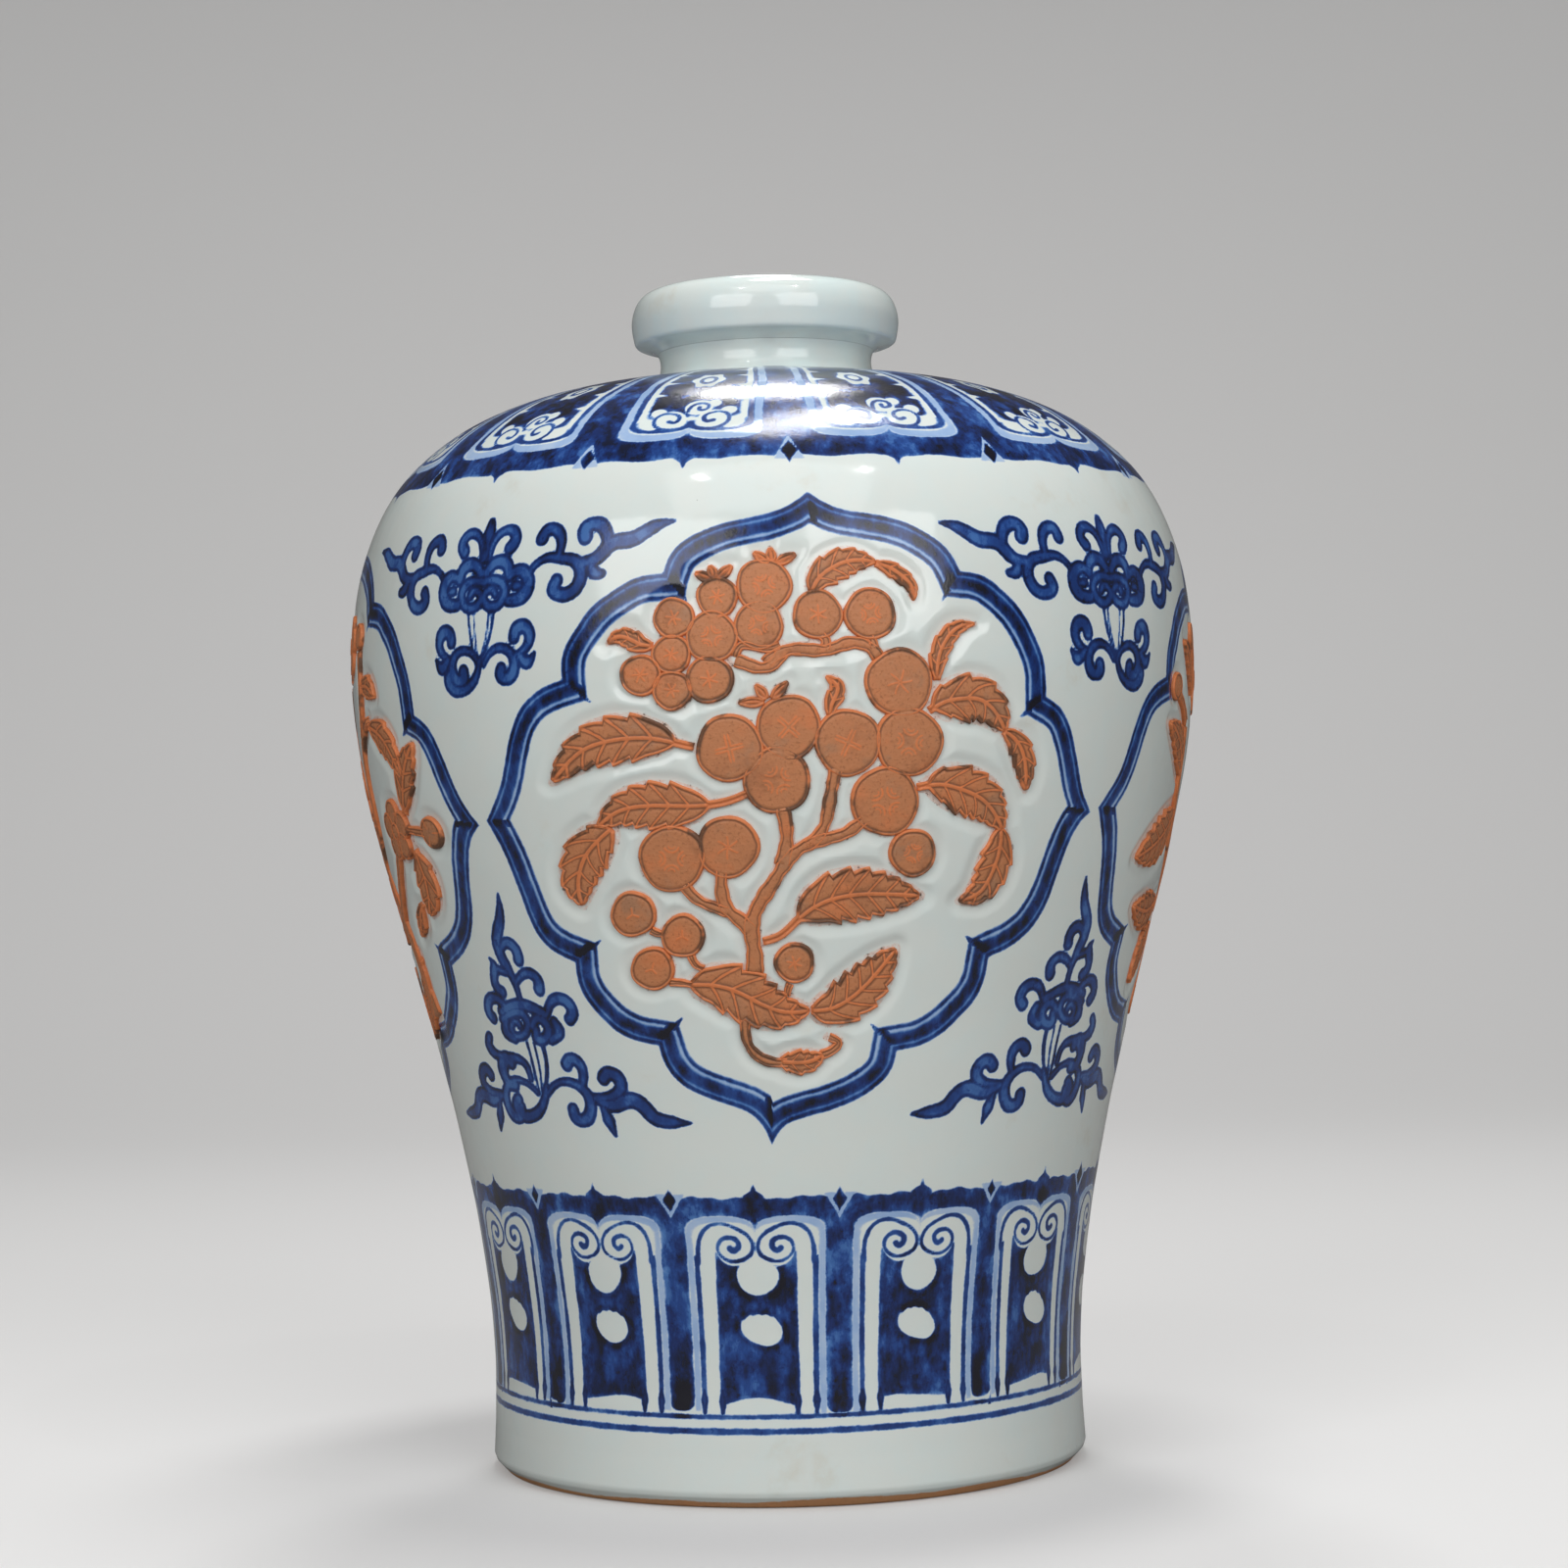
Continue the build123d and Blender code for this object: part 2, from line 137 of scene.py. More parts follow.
class Recipe:
    """The nodes of one material, with short ways to add a node and to do sums on its values."""

    def __init__(self, name):
        self.material = bpy.data.materials.new(name)
        self.material.use_nodes = True
        self.tree = self.material.node_tree
        self.tree.nodes.clear()
        self.place = self.add("ShaderNodeTexCoord").outputs["Object"]

    def add(self, kind, settings=None, **inputs):
        """Adds a node; its inputs go by their names, with _ for a blank."""
        node = self.tree.nodes.new(kind)
        for key, value in (settings or {}).items():
            setattr(node, key, value)
        for key, value in inputs.items():
            self.feed(node.inputs[key.replace("_", " ")], value)
        return node

    def feed(self, socket, value):
        """Links a socket to another one, or sets its value."""
        if isinstance(value, bpy.types.NodeSocket):
            self.tree.links.new(value, socket)
        elif isinstance(value, tuple) and len(value) == 3 and socket.type == "RGBA":
            socket.default_value = (*value, 1.0)
        else:
            socket.default_value = value

    def sum(self, operation, *terms):
        """One sum on its terms, by a Math node."""
        node = self.add("ShaderNodeMath", {"operation": operation})
        for socket, value in zip(node.inputs, terms):
            self.feed(socket, value)
        return node.outputs[0]

    def plus(self, first, second):
        return self.sum("ADD", first, second)

    def times(self, first, second):
        return self.sum("MULTIPLY", first, second)

    def most(self, first, *others):
        for other in others:
            first = self.sum("MAXIMUM", first, other)
        return first

    def step(self, value, low, high, to_low=0.0, to_high=1.0):
        """The smooth step from to_low to to_high, as a value goes from low to high."""
        node = self.add("ShaderNodeMapRange", {"interpolation_type": "SMOOTHSTEP"})
        for key, number in (
            ("Value", value), ("From Min", low), ("From Max", high),
            ("To Min", to_low), ("To Max", to_high),
        ):
            self.feed(node.inputs[key], number)
        return node.outputs["Result"]

    def ramp(self, value, stops):
        """The colour at a value, blended between the stops."""
        node = self.add("ShaderNodeValToRGB", Fac=value)
        elements = node.color_ramp.elements
        while len(elements) < len(stops):
            elements.new(1.0)
        for element, (position, colour) in zip(elements, stops):
            element.position = position
            element.color = (*colour, 1.0)
        return node.outputs["Color"]

    def noise(self, scale, detail=3.0, rough=0.5, stretch=(1.0, 1.0, 1.0)):
        """Noise from 0 to 1, with so many waves in a metre."""
        mapping = self.add("ShaderNodeMapping", Vector=self.place, Scale=stretch)
        node = self.add("ShaderNodeTexNoise", Vector=mapping.outputs[0],
                        Scale=scale, Detail=detail, Roughness=rough)
        return node.outputs["Fac"]

    def wander(self, scale, amount):
        """A noise that goes as far below nought as above it."""
        return self.times(self.sum("SUBTRACT", self.noise(scale, 2.0), 0.5), amount)

    def specks(self, scale):
        """The distance to the nearest of many scattered points."""
        node = self.add("ShaderNodeTexVoronoi", Vector=self.place, Scale=scale)
        return node.outputs["Distance"]

    def mark(self, name):
        """A value that the mesh carries at each point."""
        return self.add("ShaderNodeAttribute", {"attribute_name": name}).outputs["Fac"]

    def mix(self, share, first, second):
        """The first colour, with a share of the second in its place."""
        node = self.add("ShaderNodeMix", {"data_type": "RGBA"})
        self.feed(node.inputs[0], share)
        self.feed(node.inputs[6], first)
        self.feed(node.inputs[7], second)
        return node.outputs[2]

    def bump(self, height, distance, strength=1.0, normal=None):
        """The normal of a surface raised by height times distance."""
        node = self.add("ShaderNodeBump", Height=height, Distance=distance, Strength=strength)
        if normal is not None:
            self.feed(node.inputs["Normal"], normal)
        return node.outputs["Normal"]

    def finish(self, shader):
        """Links the shader to the output, and gives the material."""
        output = self.add("ShaderNodeOutputMaterial")
        self.tree.links.new(shader, output.inputs["Surface"])
        return self.material


def clay_colour(recipe):
    """Fired bare clay: brown, with orange clouds, a grey film here and there, and a fine grain."""
    mottle = recipe.noise(70.0, 4.0, 0.6)
    grain = recipe.noise(1100.0, 2.0, 0.5)
    tone = recipe.mix(recipe.step(mottle, 0.50, 0.72, 0.0, 0.50), CLAY_FACE, CLAY_BRIGHT)
    tone = recipe.mix(recipe.step(mottle, 0.46, 0.30, 0.0, 0.55), tone, CLAY_GREY)
    tone = recipe.mix(recipe.step(grain, 0.54, 0.74, 0.0, 0.38), tone, CLAY_DARK)
    return tone, grain


# The bands of a panel's frame, each as its depth from the outer line and its share of cobalt
FRAME_BANDS = (
    (-0.65, 0.0), (-0.1, 0.70), (0.45, 0.84), (0.85, 0.70), (1.25, 0.46), (1.55, 0.50),
    (2.1, 0.76), (3.1, 0.87), (4.1, 0.82), (5.0, 0.70), (5.5, 0.42), (5.95, 0.25), (6.35, 0.34),
    (6.85, 0.80), (7.45, 0.68), (8.25, 0.0),
)
FRAME_FIELD = (-3.0, 12.0)
# The colour of each share of cobalt under the glaze
COBALT_STOPS = (
    (0.0, GLAZE), (0.22, COBALT_WASH), (0.42, COBALT_PALE), (0.58, COBALT_SOFT),
    (0.76, COBALT_FULL), (0.92, COBALT_HEAVY), (1.0, COBALT_HEAPED),
)
# How a stroke's edge fades, by its depth in mm
STROKE_EDGE = (-0.38, 0.34)


def glaze_material(name, thick_low, thick_high):
    """Clear glaze over cobalt painting: the paint's marks are depths inside each stroke, in mm.

    Each kind of mark gives a share of cobalt: a thin wash, a fine line, a brush stroke with dark
    edges and a paler core, a broad inked ground with streaks, and the frame, whose bands are
    laid by the depth from its outer line. The heaviest share at a place is the one that shows.
    """
    recipe = Recipe(name)
    plus, times, step, mix = recipe.plus, recipe.times, recipe.step, recipe.mix
    fray = recipe.wander(900.0, 0.45)
    bleed = plus(fray, recipe.wander(150.0, 0.7))
    cloud = recipe.noise(70.0, 4.0, 0.6)
    pool = recipe.noise(120.0, 4.0, 0.60, (1.0, 1.0, 0.70))
    streak = recipe.noise(300.0, 4.0, 0.62, (1.0, 1.0, 0.34))
    heaps = recipe.noise(420.0, 4.0, 0.7)
    depths = {mark: plus(recipe.mark(mark), bleed) for mark in ("wash", "line", "brush", "ink")}
    masks = {mark: step(depth, *STROKE_EDGE) for mark, depth in depths.items()}
    wash = times(masks["wash"], step(cloud, 0.3, 0.7, 0.17, 0.26))
    line = times(masks["line"], step(pool, 0.3, 0.7, 0.52, 0.76))
    brush = recipe.sum("MULTIPLY_ADD", step(depths["brush"], 0.55, 1.6), -0.24, 0.84)
    brush = times(plus(brush, step(pool, 0.35, 0.66, -0.13, 0.10)), masks["brush"])
    ink = plus(step(streak, 0.32, 0.66, -0.09, 0.08), step(pool, 0.36, 0.60, 0.54, 0.86))
    ink = times(plus(ink, step(depths["ink"], 0.2, 1.5, -0.08, 0.02)), masks["ink"])
    low, high = FRAME_FIELD
    spot = plus(recipe.mark("frame"), times(bleed, 0.8))
    spot = recipe.sum("DIVIDE", recipe.sum("SUBTRACT", spot, low), high - low)
    bands = recipe.ramp(spot, [((depth - low) / (high - low), (share,) * 3)
                               for depth, share in FRAME_BANDS])
    band = times(bands, plus(step(streak, 0.34, 0.66, -0.12, 0.08),
                             step(pool, 0.36, 0.64, 0.84, 1.14)))
    paint = recipe.most(wash, line, brush, ink, band)
    full = step(paint, 0.30, 0.55)
    paint = plus(paint, times(recipe.mark("heap"), times(full, 0.32)))
    paint = plus(paint, times(step(heaps, 0.56, 0.70, 0.0, 0.14), full))
    body = mix(step(cloud, 0.35, 0.7, thick_low, thick_high), GLAZE, GLAZE_THICK)
    body = mix(step(recipe.noise(34.0, 5.0, 0.62), 0.60, 0.78, 0.0, 0.34), body, GLAZE_STAIN)
    shore = plus(recipe.mark("shore"), fray)
    flash = times(step(shore, -0.65, -0.1, 0.0, 0.38), step(heaps, 0.34, 0.60))
    body = mix(flash, body, CLAY_BRIGHT)
    grime = times(step(shore, -0.9, -0.1), step(heaps, 0.58, 0.68, 0.0, 0.8))
    body = mix(grime, body, CLAY_DIRT)
    body = mix(step(recipe.specks(42.0), 0.008, 0.014, 0.7, 0.0), body, PINHOLE)
    colour = mix(step(paint, 0.0, 0.16), body, recipe.ramp(paint, COBALT_STOPS))
    skin = recipe.bump(recipe.noise(140.0, 2.0), 0.00018, 0.5)
    skin = recipe.bump(recipe.noise(1500.0, 2.0), 0.00005, times(full, 0.8), skin)
    glaze = recipe.add("ShaderNodeBsdfPrincipled", Base_Color=colour, Normal=skin,
                       Roughness=recipe.sum("MULTIPLY_ADD", full, 0.10, 0.09), IOR=1.5)
    clay, grain = clay_colour(recipe)
    bare_clay = recipe.add("ShaderNodeBsdfPrincipled", Base_Color=mix(0.55, clay, CLAY_OCHRE),
                           Roughness=0.8, Normal=recipe.bump(grain, 0.0002))
    both = recipe.add("ShaderNodeMixShader",
                      Fac=step(plus(bleed, recipe.mark("bare")), 0.5, 0.9))
    recipe.tree.links.new(glaze.outputs[0], both.inputs[1])
    recipe.tree.links.new(bare_clay.outputs[0], both.inputs[2])
    return recipe.finish(both.outputs[0])


# Depths reach this far from a stroke, and the nearness of the sprigs that far
FAR, SHORE_FAR = 3.0, 8.0
MARKS = {"wash": -FAR, "line": -FAR, "brush": -FAR, "ink": -FAR, "frame": -FAR,
         "shore": -SHORE_FAR, "heap": 0.0, "bare": -FAR}
wall_glaze = glaze_material("clear_glaze_over_cobalt", 0.02, 0.30)


def unpainted(shape):
    """Marks for a surface without any painting on it."""
    return {mark: np.full(shape, value) for mark, value in MARKS.items()}


def profile_through(*corners):
    """Rows of (radius, height): each corner has its place and the number of steps to the next."""
    rows = []
    for (radius, height, steps), following in zip(corners, corners[1:]):
        share = np.linspace(0.0, 1.0, steps, endpoint=False)[:, None]
        rows.append(np.array((radius, height)) * (1 - share) + np.array(following[:2]) * share)
    return np.concatenate(rows)


def turned_piece(name, profile, columns, closed, material, node, finish=None):
    """A piece turned on the wheel from its profile; finish paints it or moves its points."""
    azimuths = np.arange(columns) * 360.0 / columns
    radii = np.repeat(profile[:, :1], columns, axis=1)
    heights = np.repeat(profile[:, 1:], columns, axis=1)
    marks = unpainted(radii.shape)
    if finish:
        heights = finish(radii, heights, np.radians(azimuths)[None, :], marks)
    piece = revolved_mesh(name, radii, heights, azimuths, closed, marks)
    return placed(piece, material, node)


def paint_foot(radii, heights, angle, marks):
    """Draws the foot's lower line, and leaves clay bare below a wavering edge of the glaze."""
    glaze_edge = FOOT_GLAZE_LINE + 0.5 * np.sin(3 * angle + 0.6) + 0.35 * np.sin(11 * angle)
    on_ring = (radii > FOOT_RING_INSIDE) & (heights < FOOT_RING_TOP)
    line = 0.80 - 0.85 * np.abs(heights - LOW_LINE_HEIGHT)
    marks["line"] = np.where(radii > FOOT_OUTSIDE, line, -FAR).clip(-FAR, FAR)
    marks["bare"] = np.where(on_ring, glaze_edge - heights, -FAR)
    return heights


foot_profile = profile_through(
    (4.0, 7.0, 20), (80.0, 7.0, 4), (84.5, 6.4, 10), (87.6, 0.5, 3), (88.6, 0.0, 6),
    (95.6, 0.0, 3), (97.2, 0.5, 8), (100.4, 3.9, 3), (100.9, 5.4, 14), (100.3, 16.0, 20),
    (WAIST_RADIUS, WAIST_HEIGHT, 1), (93.0, 28.0, 5), (93.0, 22.0, 3), (91.2, 17.8, 3),
    (87.0, 16.0, 14), (3.0, 16.0, 0),
)
turned_piece("foot_and_floor_dressed", foot_profile, FOOT_COLUMNS, False, wall_glaze,
             "foot_and_floor", paint_foot)

# Lower body: the lowest thrown section of the porcelain wall, up to the first luted seam.
# Its cobalt lappets stand on two thin lines. The panels' frames and the lower scrolls begin on it
# and run on over the seam, so the painting and the carving are worked out for the whole wall here.
WALL_STATIONS = np.array([
    (100.0, 28.0), (110.9, 114.0), (127.8, 182.0), (144.0, 271.0),
    (125.8, 334.0), (91.0, 357.8), (38.0, 369.0),
])
WALL_THICKNESS = 7.0
SHOULDER_CROWN = 0.16
LOWER_SEAM, UPPER_SEAM = 148.0, 262.0
WALL_COLUMNS, CROWN_COLUMNS = 1080, 900
WALL_ROWS, CROWN_ROWS, INSIDE_ROWS = 84, 102, 7
WAIST_ARC = 29.5


def smooth_through(stations, count, first_slope=None, last_slope=None):
    """A cubic that passes the stations at their chord lengths, with its end directions held.

    The slopes at the stations solve the usual three-term equations for a twice smooth cubic,
    and each stretch is then the Hermite blend of its two points and slopes.
    """
    stations = np.asarray(stations, float)
    gaps = np.linalg.norm(np.diff(stations, axis=0), axis=1)
    knots = np.concatenate([[0.0], np.cumsum(gaps)])
    size = len(stations)
    sums = np.zeros((size, size))
    right = np.zeros_like(stations)
    inner = np.arange(1, size - 1)
    sums[inner, inner - 1] = gaps[inner]
    sums[inner, inner] = 2 * (gaps[inner - 1] + gaps[inner])
    sums[inner, inner + 1] = gaps[inner - 1]
    rise = np.diff(stations, axis=0) / gaps[:, None]
    right[inner] = 3 * (gaps[inner, None] * rise[inner - 1] + gaps[inner - 1, None] * rise[inner])
    sums[0, 0] = sums[-1, -1] = 1.0
    if first_slope is None:
        sums[0, 1] = sums[-1, -2] = 0.5
        right[0], right[-1] = 1.5 * rise[0], 1.5 * rise[-1]
    else:
        right[0] = np.array(first_slope) / np.linalg.norm(first_slope)
        right[-1] = np.array(last_slope) / np.linalg.norm(last_slope)
    slopes = np.linalg.solve(sums, right)
    spot = np.linspace(0.0, knots[-1], count)
    leg = np.clip(np.searchsorted(knots, spot, side="right") - 1, 0, size - 2)
    share = ((spot - knots[leg]) / gaps[leg])[:, None]
    span = gaps[leg][:, None]
    return ((1 + 2 * share) * (1 - share) ** 2 * stations[leg]
            + share * (1 - share) ** 2 * span * slopes[leg]
            + share ** 2 * (3 - 2 * share) * stations[leg + 1]
            - share ** 2 * (1 - share) * span * slopes[leg + 1])


wall_line = smooth_through(WALL_STATIONS, 6000, (0.0, 1.0), (-1.0, SHOULDER_CROWN))
wall_step = np.linalg.norm(np.diff(wall_line, axis=0), axis=1)
wall_arc = WAIST_ARC + np.concatenate([[0.0], np.cumsum(wall_step)])
wall_tangent = np.gradient(wall_line, wall_arc, axis=0)
wall_tangent /= np.linalg.norm(wall_tangent, axis=1)[:, None]


def wall_at(arc):
    """Radius, height and outward normal (radial, upward) of the wall at an arc length."""
    radius = np.interp(arc, wall_arc, wall_line[:, 0])
    height = np.interp(arc, wall_arc, wall_line[:, 1])
    along_r = np.interp(arc, wall_arc, wall_tangent[:, 0])
    along_z = np.interp(arc, wall_arc, wall_tangent[:, 1])
    return radius, height, along_z, -along_r


def arc_of(height):
    """The arc length at which the wall reaches a height."""
    return np.interp(height, wall_line[:, 1], wall_arc)


def most(first, *others):
    """The greatest of several depths at each place."""
    for other in others:
        first = np.maximum(first, other)
    return first


def least(first, *others):
    """The smallest of several depths at each place."""
    for other in others:
        first = np.minimum(first, other)
    return first


def smooth_share(value, low, high):
    """0 below low, 1 above high, and the smooth step 3t^2 - 2t^3 between them."""
    share = np.clip((value - low) / (high - low), 0.0, 1.0)
    return share * share * (3 - 2 * share)


def turned(azimuth, centre):
    """How far an azimuth is from a centre, in degrees from -180 to 180."""
    return (azimuth - centre + 180.0) % 360.0 - 180.0


def stroke_depth(across, along, points, widths, reach=FAR):
    """How deep each place lies inside a brush stroke, in mm: half width less distance.

    The stroke follows a smooth line through its points, and its half width goes evenly from
    one of its widths to the next. Places further off than reach are given minus reach.
    """
    line = np.asarray(points, float)
    if len(points) > 2:
        line = smooth_through(points, 8 * len(points))
    halves = np.interp(np.linspace(0, 1, len(line)), np.linspace(0, 1, len(widths)), widths)
    depth = np.full(across.shape, -reach)
    margin = reach + max(widths)
    near = ((across > line[:, 0].min() - margin) & (across < line[:, 0].max() + margin)
            & (along > line[:, 1].min() - margin) & (along < line[:, 1].max() + margin))
    if not near.any():
        return depth
    place = np.stack([across[near], along[near]], axis=-1)[:, None, :]
    start, way = line[:-1][None], np.diff(line, axis=0)[None]
    share = ((place - start) * way).sum(-1) / np.maximum((way ** 2).sum(-1), 1e-9)
    share = np.clip(share, 0, 1)
    away = np.linalg.norm(place - start - share[..., None] * way, axis=-1)
    half = halves[:-1][None] * (1 - share) + halves[1:][None] * share
    depth[near] = np.maximum((half - away).max(axis=1), -reach)
    return depth


def both_sides(across, along, points, widths):
    """The depth inside a stroke or its mirror image."""
    return most(stroke_depth(across, along, points, widths),
                stroke_depth(-across, along, points, widths))


def disc_depth(across, along, centre, radius, tall=1.0):
    """How deep each place lies inside an oval: radius less the distance, squeezed to its height."""
    return radius - np.hypot(across - centre[0], (along - centre[1]) / tall)


def arches_depth(across, along, half_width, cusp, crest):
    """How deep each place lies inside a lappet's two-humped opening that stands below its crest.

    Each hump is half a superoval between the middle and the side, and below the cusp the
    opening is as wide as both.
    """
    middle = half_width / 2
    side = np.abs(np.abs(across) - middle) / middle
    rise = np.maximum(along - cusp, 0) / (crest - cusp)
    humps = (1 - (side ** 2.6 + rise ** 2.6) ** (1 / 2.6)) * np.minimum(middle, crest - cusp)
    return most(humps, least(half_width - np.abs(across), cusp - along))


def lappet_place(azimuth, edges, radius):
    """Which lappet each place is in, its half width, and how far across it the place is."""
    spot = (azimuth - edges[0]) % 360.0 + edges[0]
    order = np.clip(np.searchsorted(edges, spot, side="right") - 1, 0, len(edges) - 2)
    left, right = edges[order], edges[order + 1]
    half = np.radians(right - left) / 2 * radius
    return order, half, np.radians(spot - (left + right) / 2) * radius


def lay(marks, **depths):
    """Adds painting to the marks: the deeper of what was there and what is added stands."""
    for mark, depth in depths.items():
        marks[mark] = np.maximum(marks[mark], depth)


FOOT_LAPPET_EDGES = np.array(
    [-48.4, -19.5, 9.3, 38.0] + [65.4 + 27.36 * step for step in range(10)])
FOOT_VOLUTE = [
    (-18.3, 78.0), (-18.1, 84.5), (-16.8, 87.6), (-14.8, 89.5), (-10.9, 90.4), (-6.2, 89.0),
    (-2.7, 86.9), (-0.9, 83.9), (-1.3, 81.0), (-3.8, 79.1), (-7.4, 78.4), (-10.3, 79.6),
    (-12.0, 82.1), (-11.4, 84.6), (-9.6, 85.9), (-7.2, 85.8), (-5.4, 84.5), (-5.4, 82.9),
    (-6.9, 81.8), (-8.1, 82.6),
]
# A lappet's openings, from the outer one in: inset from its side, height of its cusp and humps
FOOT_OPENINGS = ((4.2, 87.8, 92.8), (6.4, 86.4, 90.8), (7.6, 84.6, 89.6))
LAPPET_TOP, LAPPET_BOTTOM = 98.6, 30.4
SHAFT_TOP, COLUMN_TOP = 80.0, 81.5
UPPER_DROP, LOWER_DROP = (0.3, 73.6), (1.0, 56.6)
FOOT_LAPPETS_END = 106.0


def foot_lappets(azimuth, height, radius, marks):
    """Paints the thirteen standing lappets: each frame, its volutes and its dark column.

    Every shape is a depth inside it. Shapes are joined by the greater depth and cut by the less:
    the frame is the band round each two-humped opening, and the column has two drops left white.
    """
    order, half, across = lappet_place(azimuth, FOOT_LAPPET_EDGES, radius)
    across = across + 0.45 * np.sin(order * 2.3 + 0.8) * smooth_share(height, 40, 85)
    off_middle = np.abs(across)
    edge_side = half - off_middle
    wobble = 0.35 * np.sin(across * 0.35 + order * 1.7) + 0.25 * np.sin(across * 0.9 + order)
    bottom = LAPPET_BOTTOM + 0.6 * np.sin(order * 3.1 + np.sign(across))
    outer, inner, open_inside = (arches_depth(across, height, half - inset, cusp, crest)
                                 for inset, cusp, crest in FOOT_OPENINGS)
    spike = least(103.0 - height, 1.1 - off_middle - (height - 99.2) * 0.28)
    flare = 2.6 - off_middle * 0.62 - (height - LAPPET_TOP)
    spike = most(spike, least(flare, 3.4 - off_middle))
    lozenge = (1 - (edge_side / 2.25 + np.abs(height - 97.7) / 3.5)) * 1.7
    notch = least(0.35 - (edge_side * 5.4 - (height - 93.0) * 3.4) / 6.4, 99.4 - height)
    below = np.maximum(bottom + 4.2 - height, 0)
    rounded = np.where(height < bottom + 4.2,
                       4.2 - (np.abs(edge_side) ** 3 + below ** 3) ** (1 / 3), FAR)
    frame_depth = least(LAPPET_TOP + wobble - height, -outer, rounded)
    frame_depth = most(frame_depth, least(spike, -outer))
    frame_depth = most(least(frame_depth, -notch), lozenge)
    wash = least(outer, -inner, height - bottom)
    wash = most(wash, least(notch, -lozenge) + 0.35)
    wash = least(wash, np.where(height > 76.0, -open_inside, FAR))
    side_line = least(0.85 - np.abs(edge_side - 7.3), height - bottom, SHAFT_TOP - height)
    volutes = both_sides(across, height, FOOT_VOLUTE, (0.75, 0.62, 0.55, 0.55, 0.9))
    column_half = np.interp(height, [34, 55, 80], [12.3, 12.5, 12.9])
    foot_arch = 34.6 - 1.6 * (across / 12.0) ** 2 + 0.7 * np.sin(order * 1.9 + across * 0.2)
    column = least(column_half - off_middle, COLUMN_TOP - height, height - foot_arch)
    volute_disc = most(*(disc_depth(across, height, (side * 6.6, 82.6), 5.7) for side in (-1, 1)))
    turn = np.arctan2(height - UPPER_DROP[1], across - UPPER_DROP[0])
    drop = disc_depth(across, height, UPPER_DROP, 6.4, 0.96)
    drop = drop + 0.28 * np.sin(2 * turn + order * 2.1) + 0.16 * np.sin(3 * turn + order)
    neck = least(3.6 - off_middle - (height - 78.0) * 0.3, height - 76.0)
    middle = (LOWER_DROP[0] + 0.7 * np.sin(order * 2.7), LOWER_DROP[1])
    low_drop = disc_depth(across + (height - LOWER_DROP[1]) * 0.25, height, middle, 6.2, 0.84)
    turn = np.arctan2(height - LOWER_DROP[1], across - LOWER_DROP[0])
    ragged_top = 0.22 * smooth_share(height, 57.5, 60.5) * np.sin(across * 2.4 + order * 1.3)
    low_drop = (low_drop + ragged_top + 0.30 * np.sin(2 * turn + order * 1.3)
                + 0.20 * np.sin(3 * turn - order))
    column = least(column, -volute_disc, -drop, -neck, -low_drop)
    legs = least(0.75 - np.abs(off_middle - 11.9), height - bottom, 60.0 - height)
    drips = most(*(stroke_depth(place, height, [(leg, 38.0), (leg, 32.2), (leg, 30.2)],
                                (0.4, 1.25, 0.6))
                   for place, leg in ((edge_side, 7.3), (off_middle, 11.9))))
    high_line = 0.60 - 0.85 * np.abs(height - HIGH_LINE_HEIGHT)
    cusp_heap = np.exp(-(across ** 2 + (height - 93.5) ** 2) / 12.0)
    foot_heap = smooth_share(edge_side, 4.5, 1.5) * smooth_share(height, 52, 34) * 0.8
    reserve = most(drop, low_drop)
    ring_heap = 0.55 * smooth_share(reserve, -3.2, -1.0) * smooth_share(reserve, 0.6, -0.2)
    lay(marks, ink=most(frame_depth, column), brush=drips, wash=wash,
        line=most(side_line, volutes, legs, high_line),
        heap=most(cusp_heap, smooth_share(lozenge, -0.3, 0.8), foot_heap, ring_heap))


SHOULDER_LAPPET_EDGES = np.array(
    [-56.4, -25.8, 3.0, 32.8] + [65.1 + 29.8125 * step for step in range(9)])
SHOULDER_CURL = [
    (-3.0, 350.3), (-7.5, 349.9), (-11.2, 352.0), (-12.0, 355.6), (-9.6, 358.6), (-6.0, 358.4),
    (-3.9, 356.0), (-5.0, 353.6), (-7.2, 354.2),
]
SHOULDER_BUD = [
    (-1.8, 359.0), (-1.3, 362.2), (1.2, 364.6), (4.1, 363.4), (4.0, 360.8), (1.8, 360.3),
    (1.5, 362.0),
]
# White discs between the curls: across, along and radius
CURL_DISCS = [
    (-7.0, 354.6, 5.4), (7.0, 354.6, 5.4), (1.4, 362.0, 4.6), (6.0, 364.4, 2.4),
    (-11.2, 359.4, 2.6), (11.2, 359.6, 2.6),
]
# Teeth cut in the sides of the dark ground: arc and side
GROUND_TEETH = [
    (367.5, 1), (372.0, -1), (379.0, 1), (384.0, -1),
    (392.0, 1), (396.0, -1), (404.0, 1), (408.0, -1),
]
SHOULDER_LOW_ARC, SHOULDER_HIGH_ARC, FLOWER_ARC = 336.8, 425.5, 386.5
SHOULDER_LAPPETS_START = 330.0


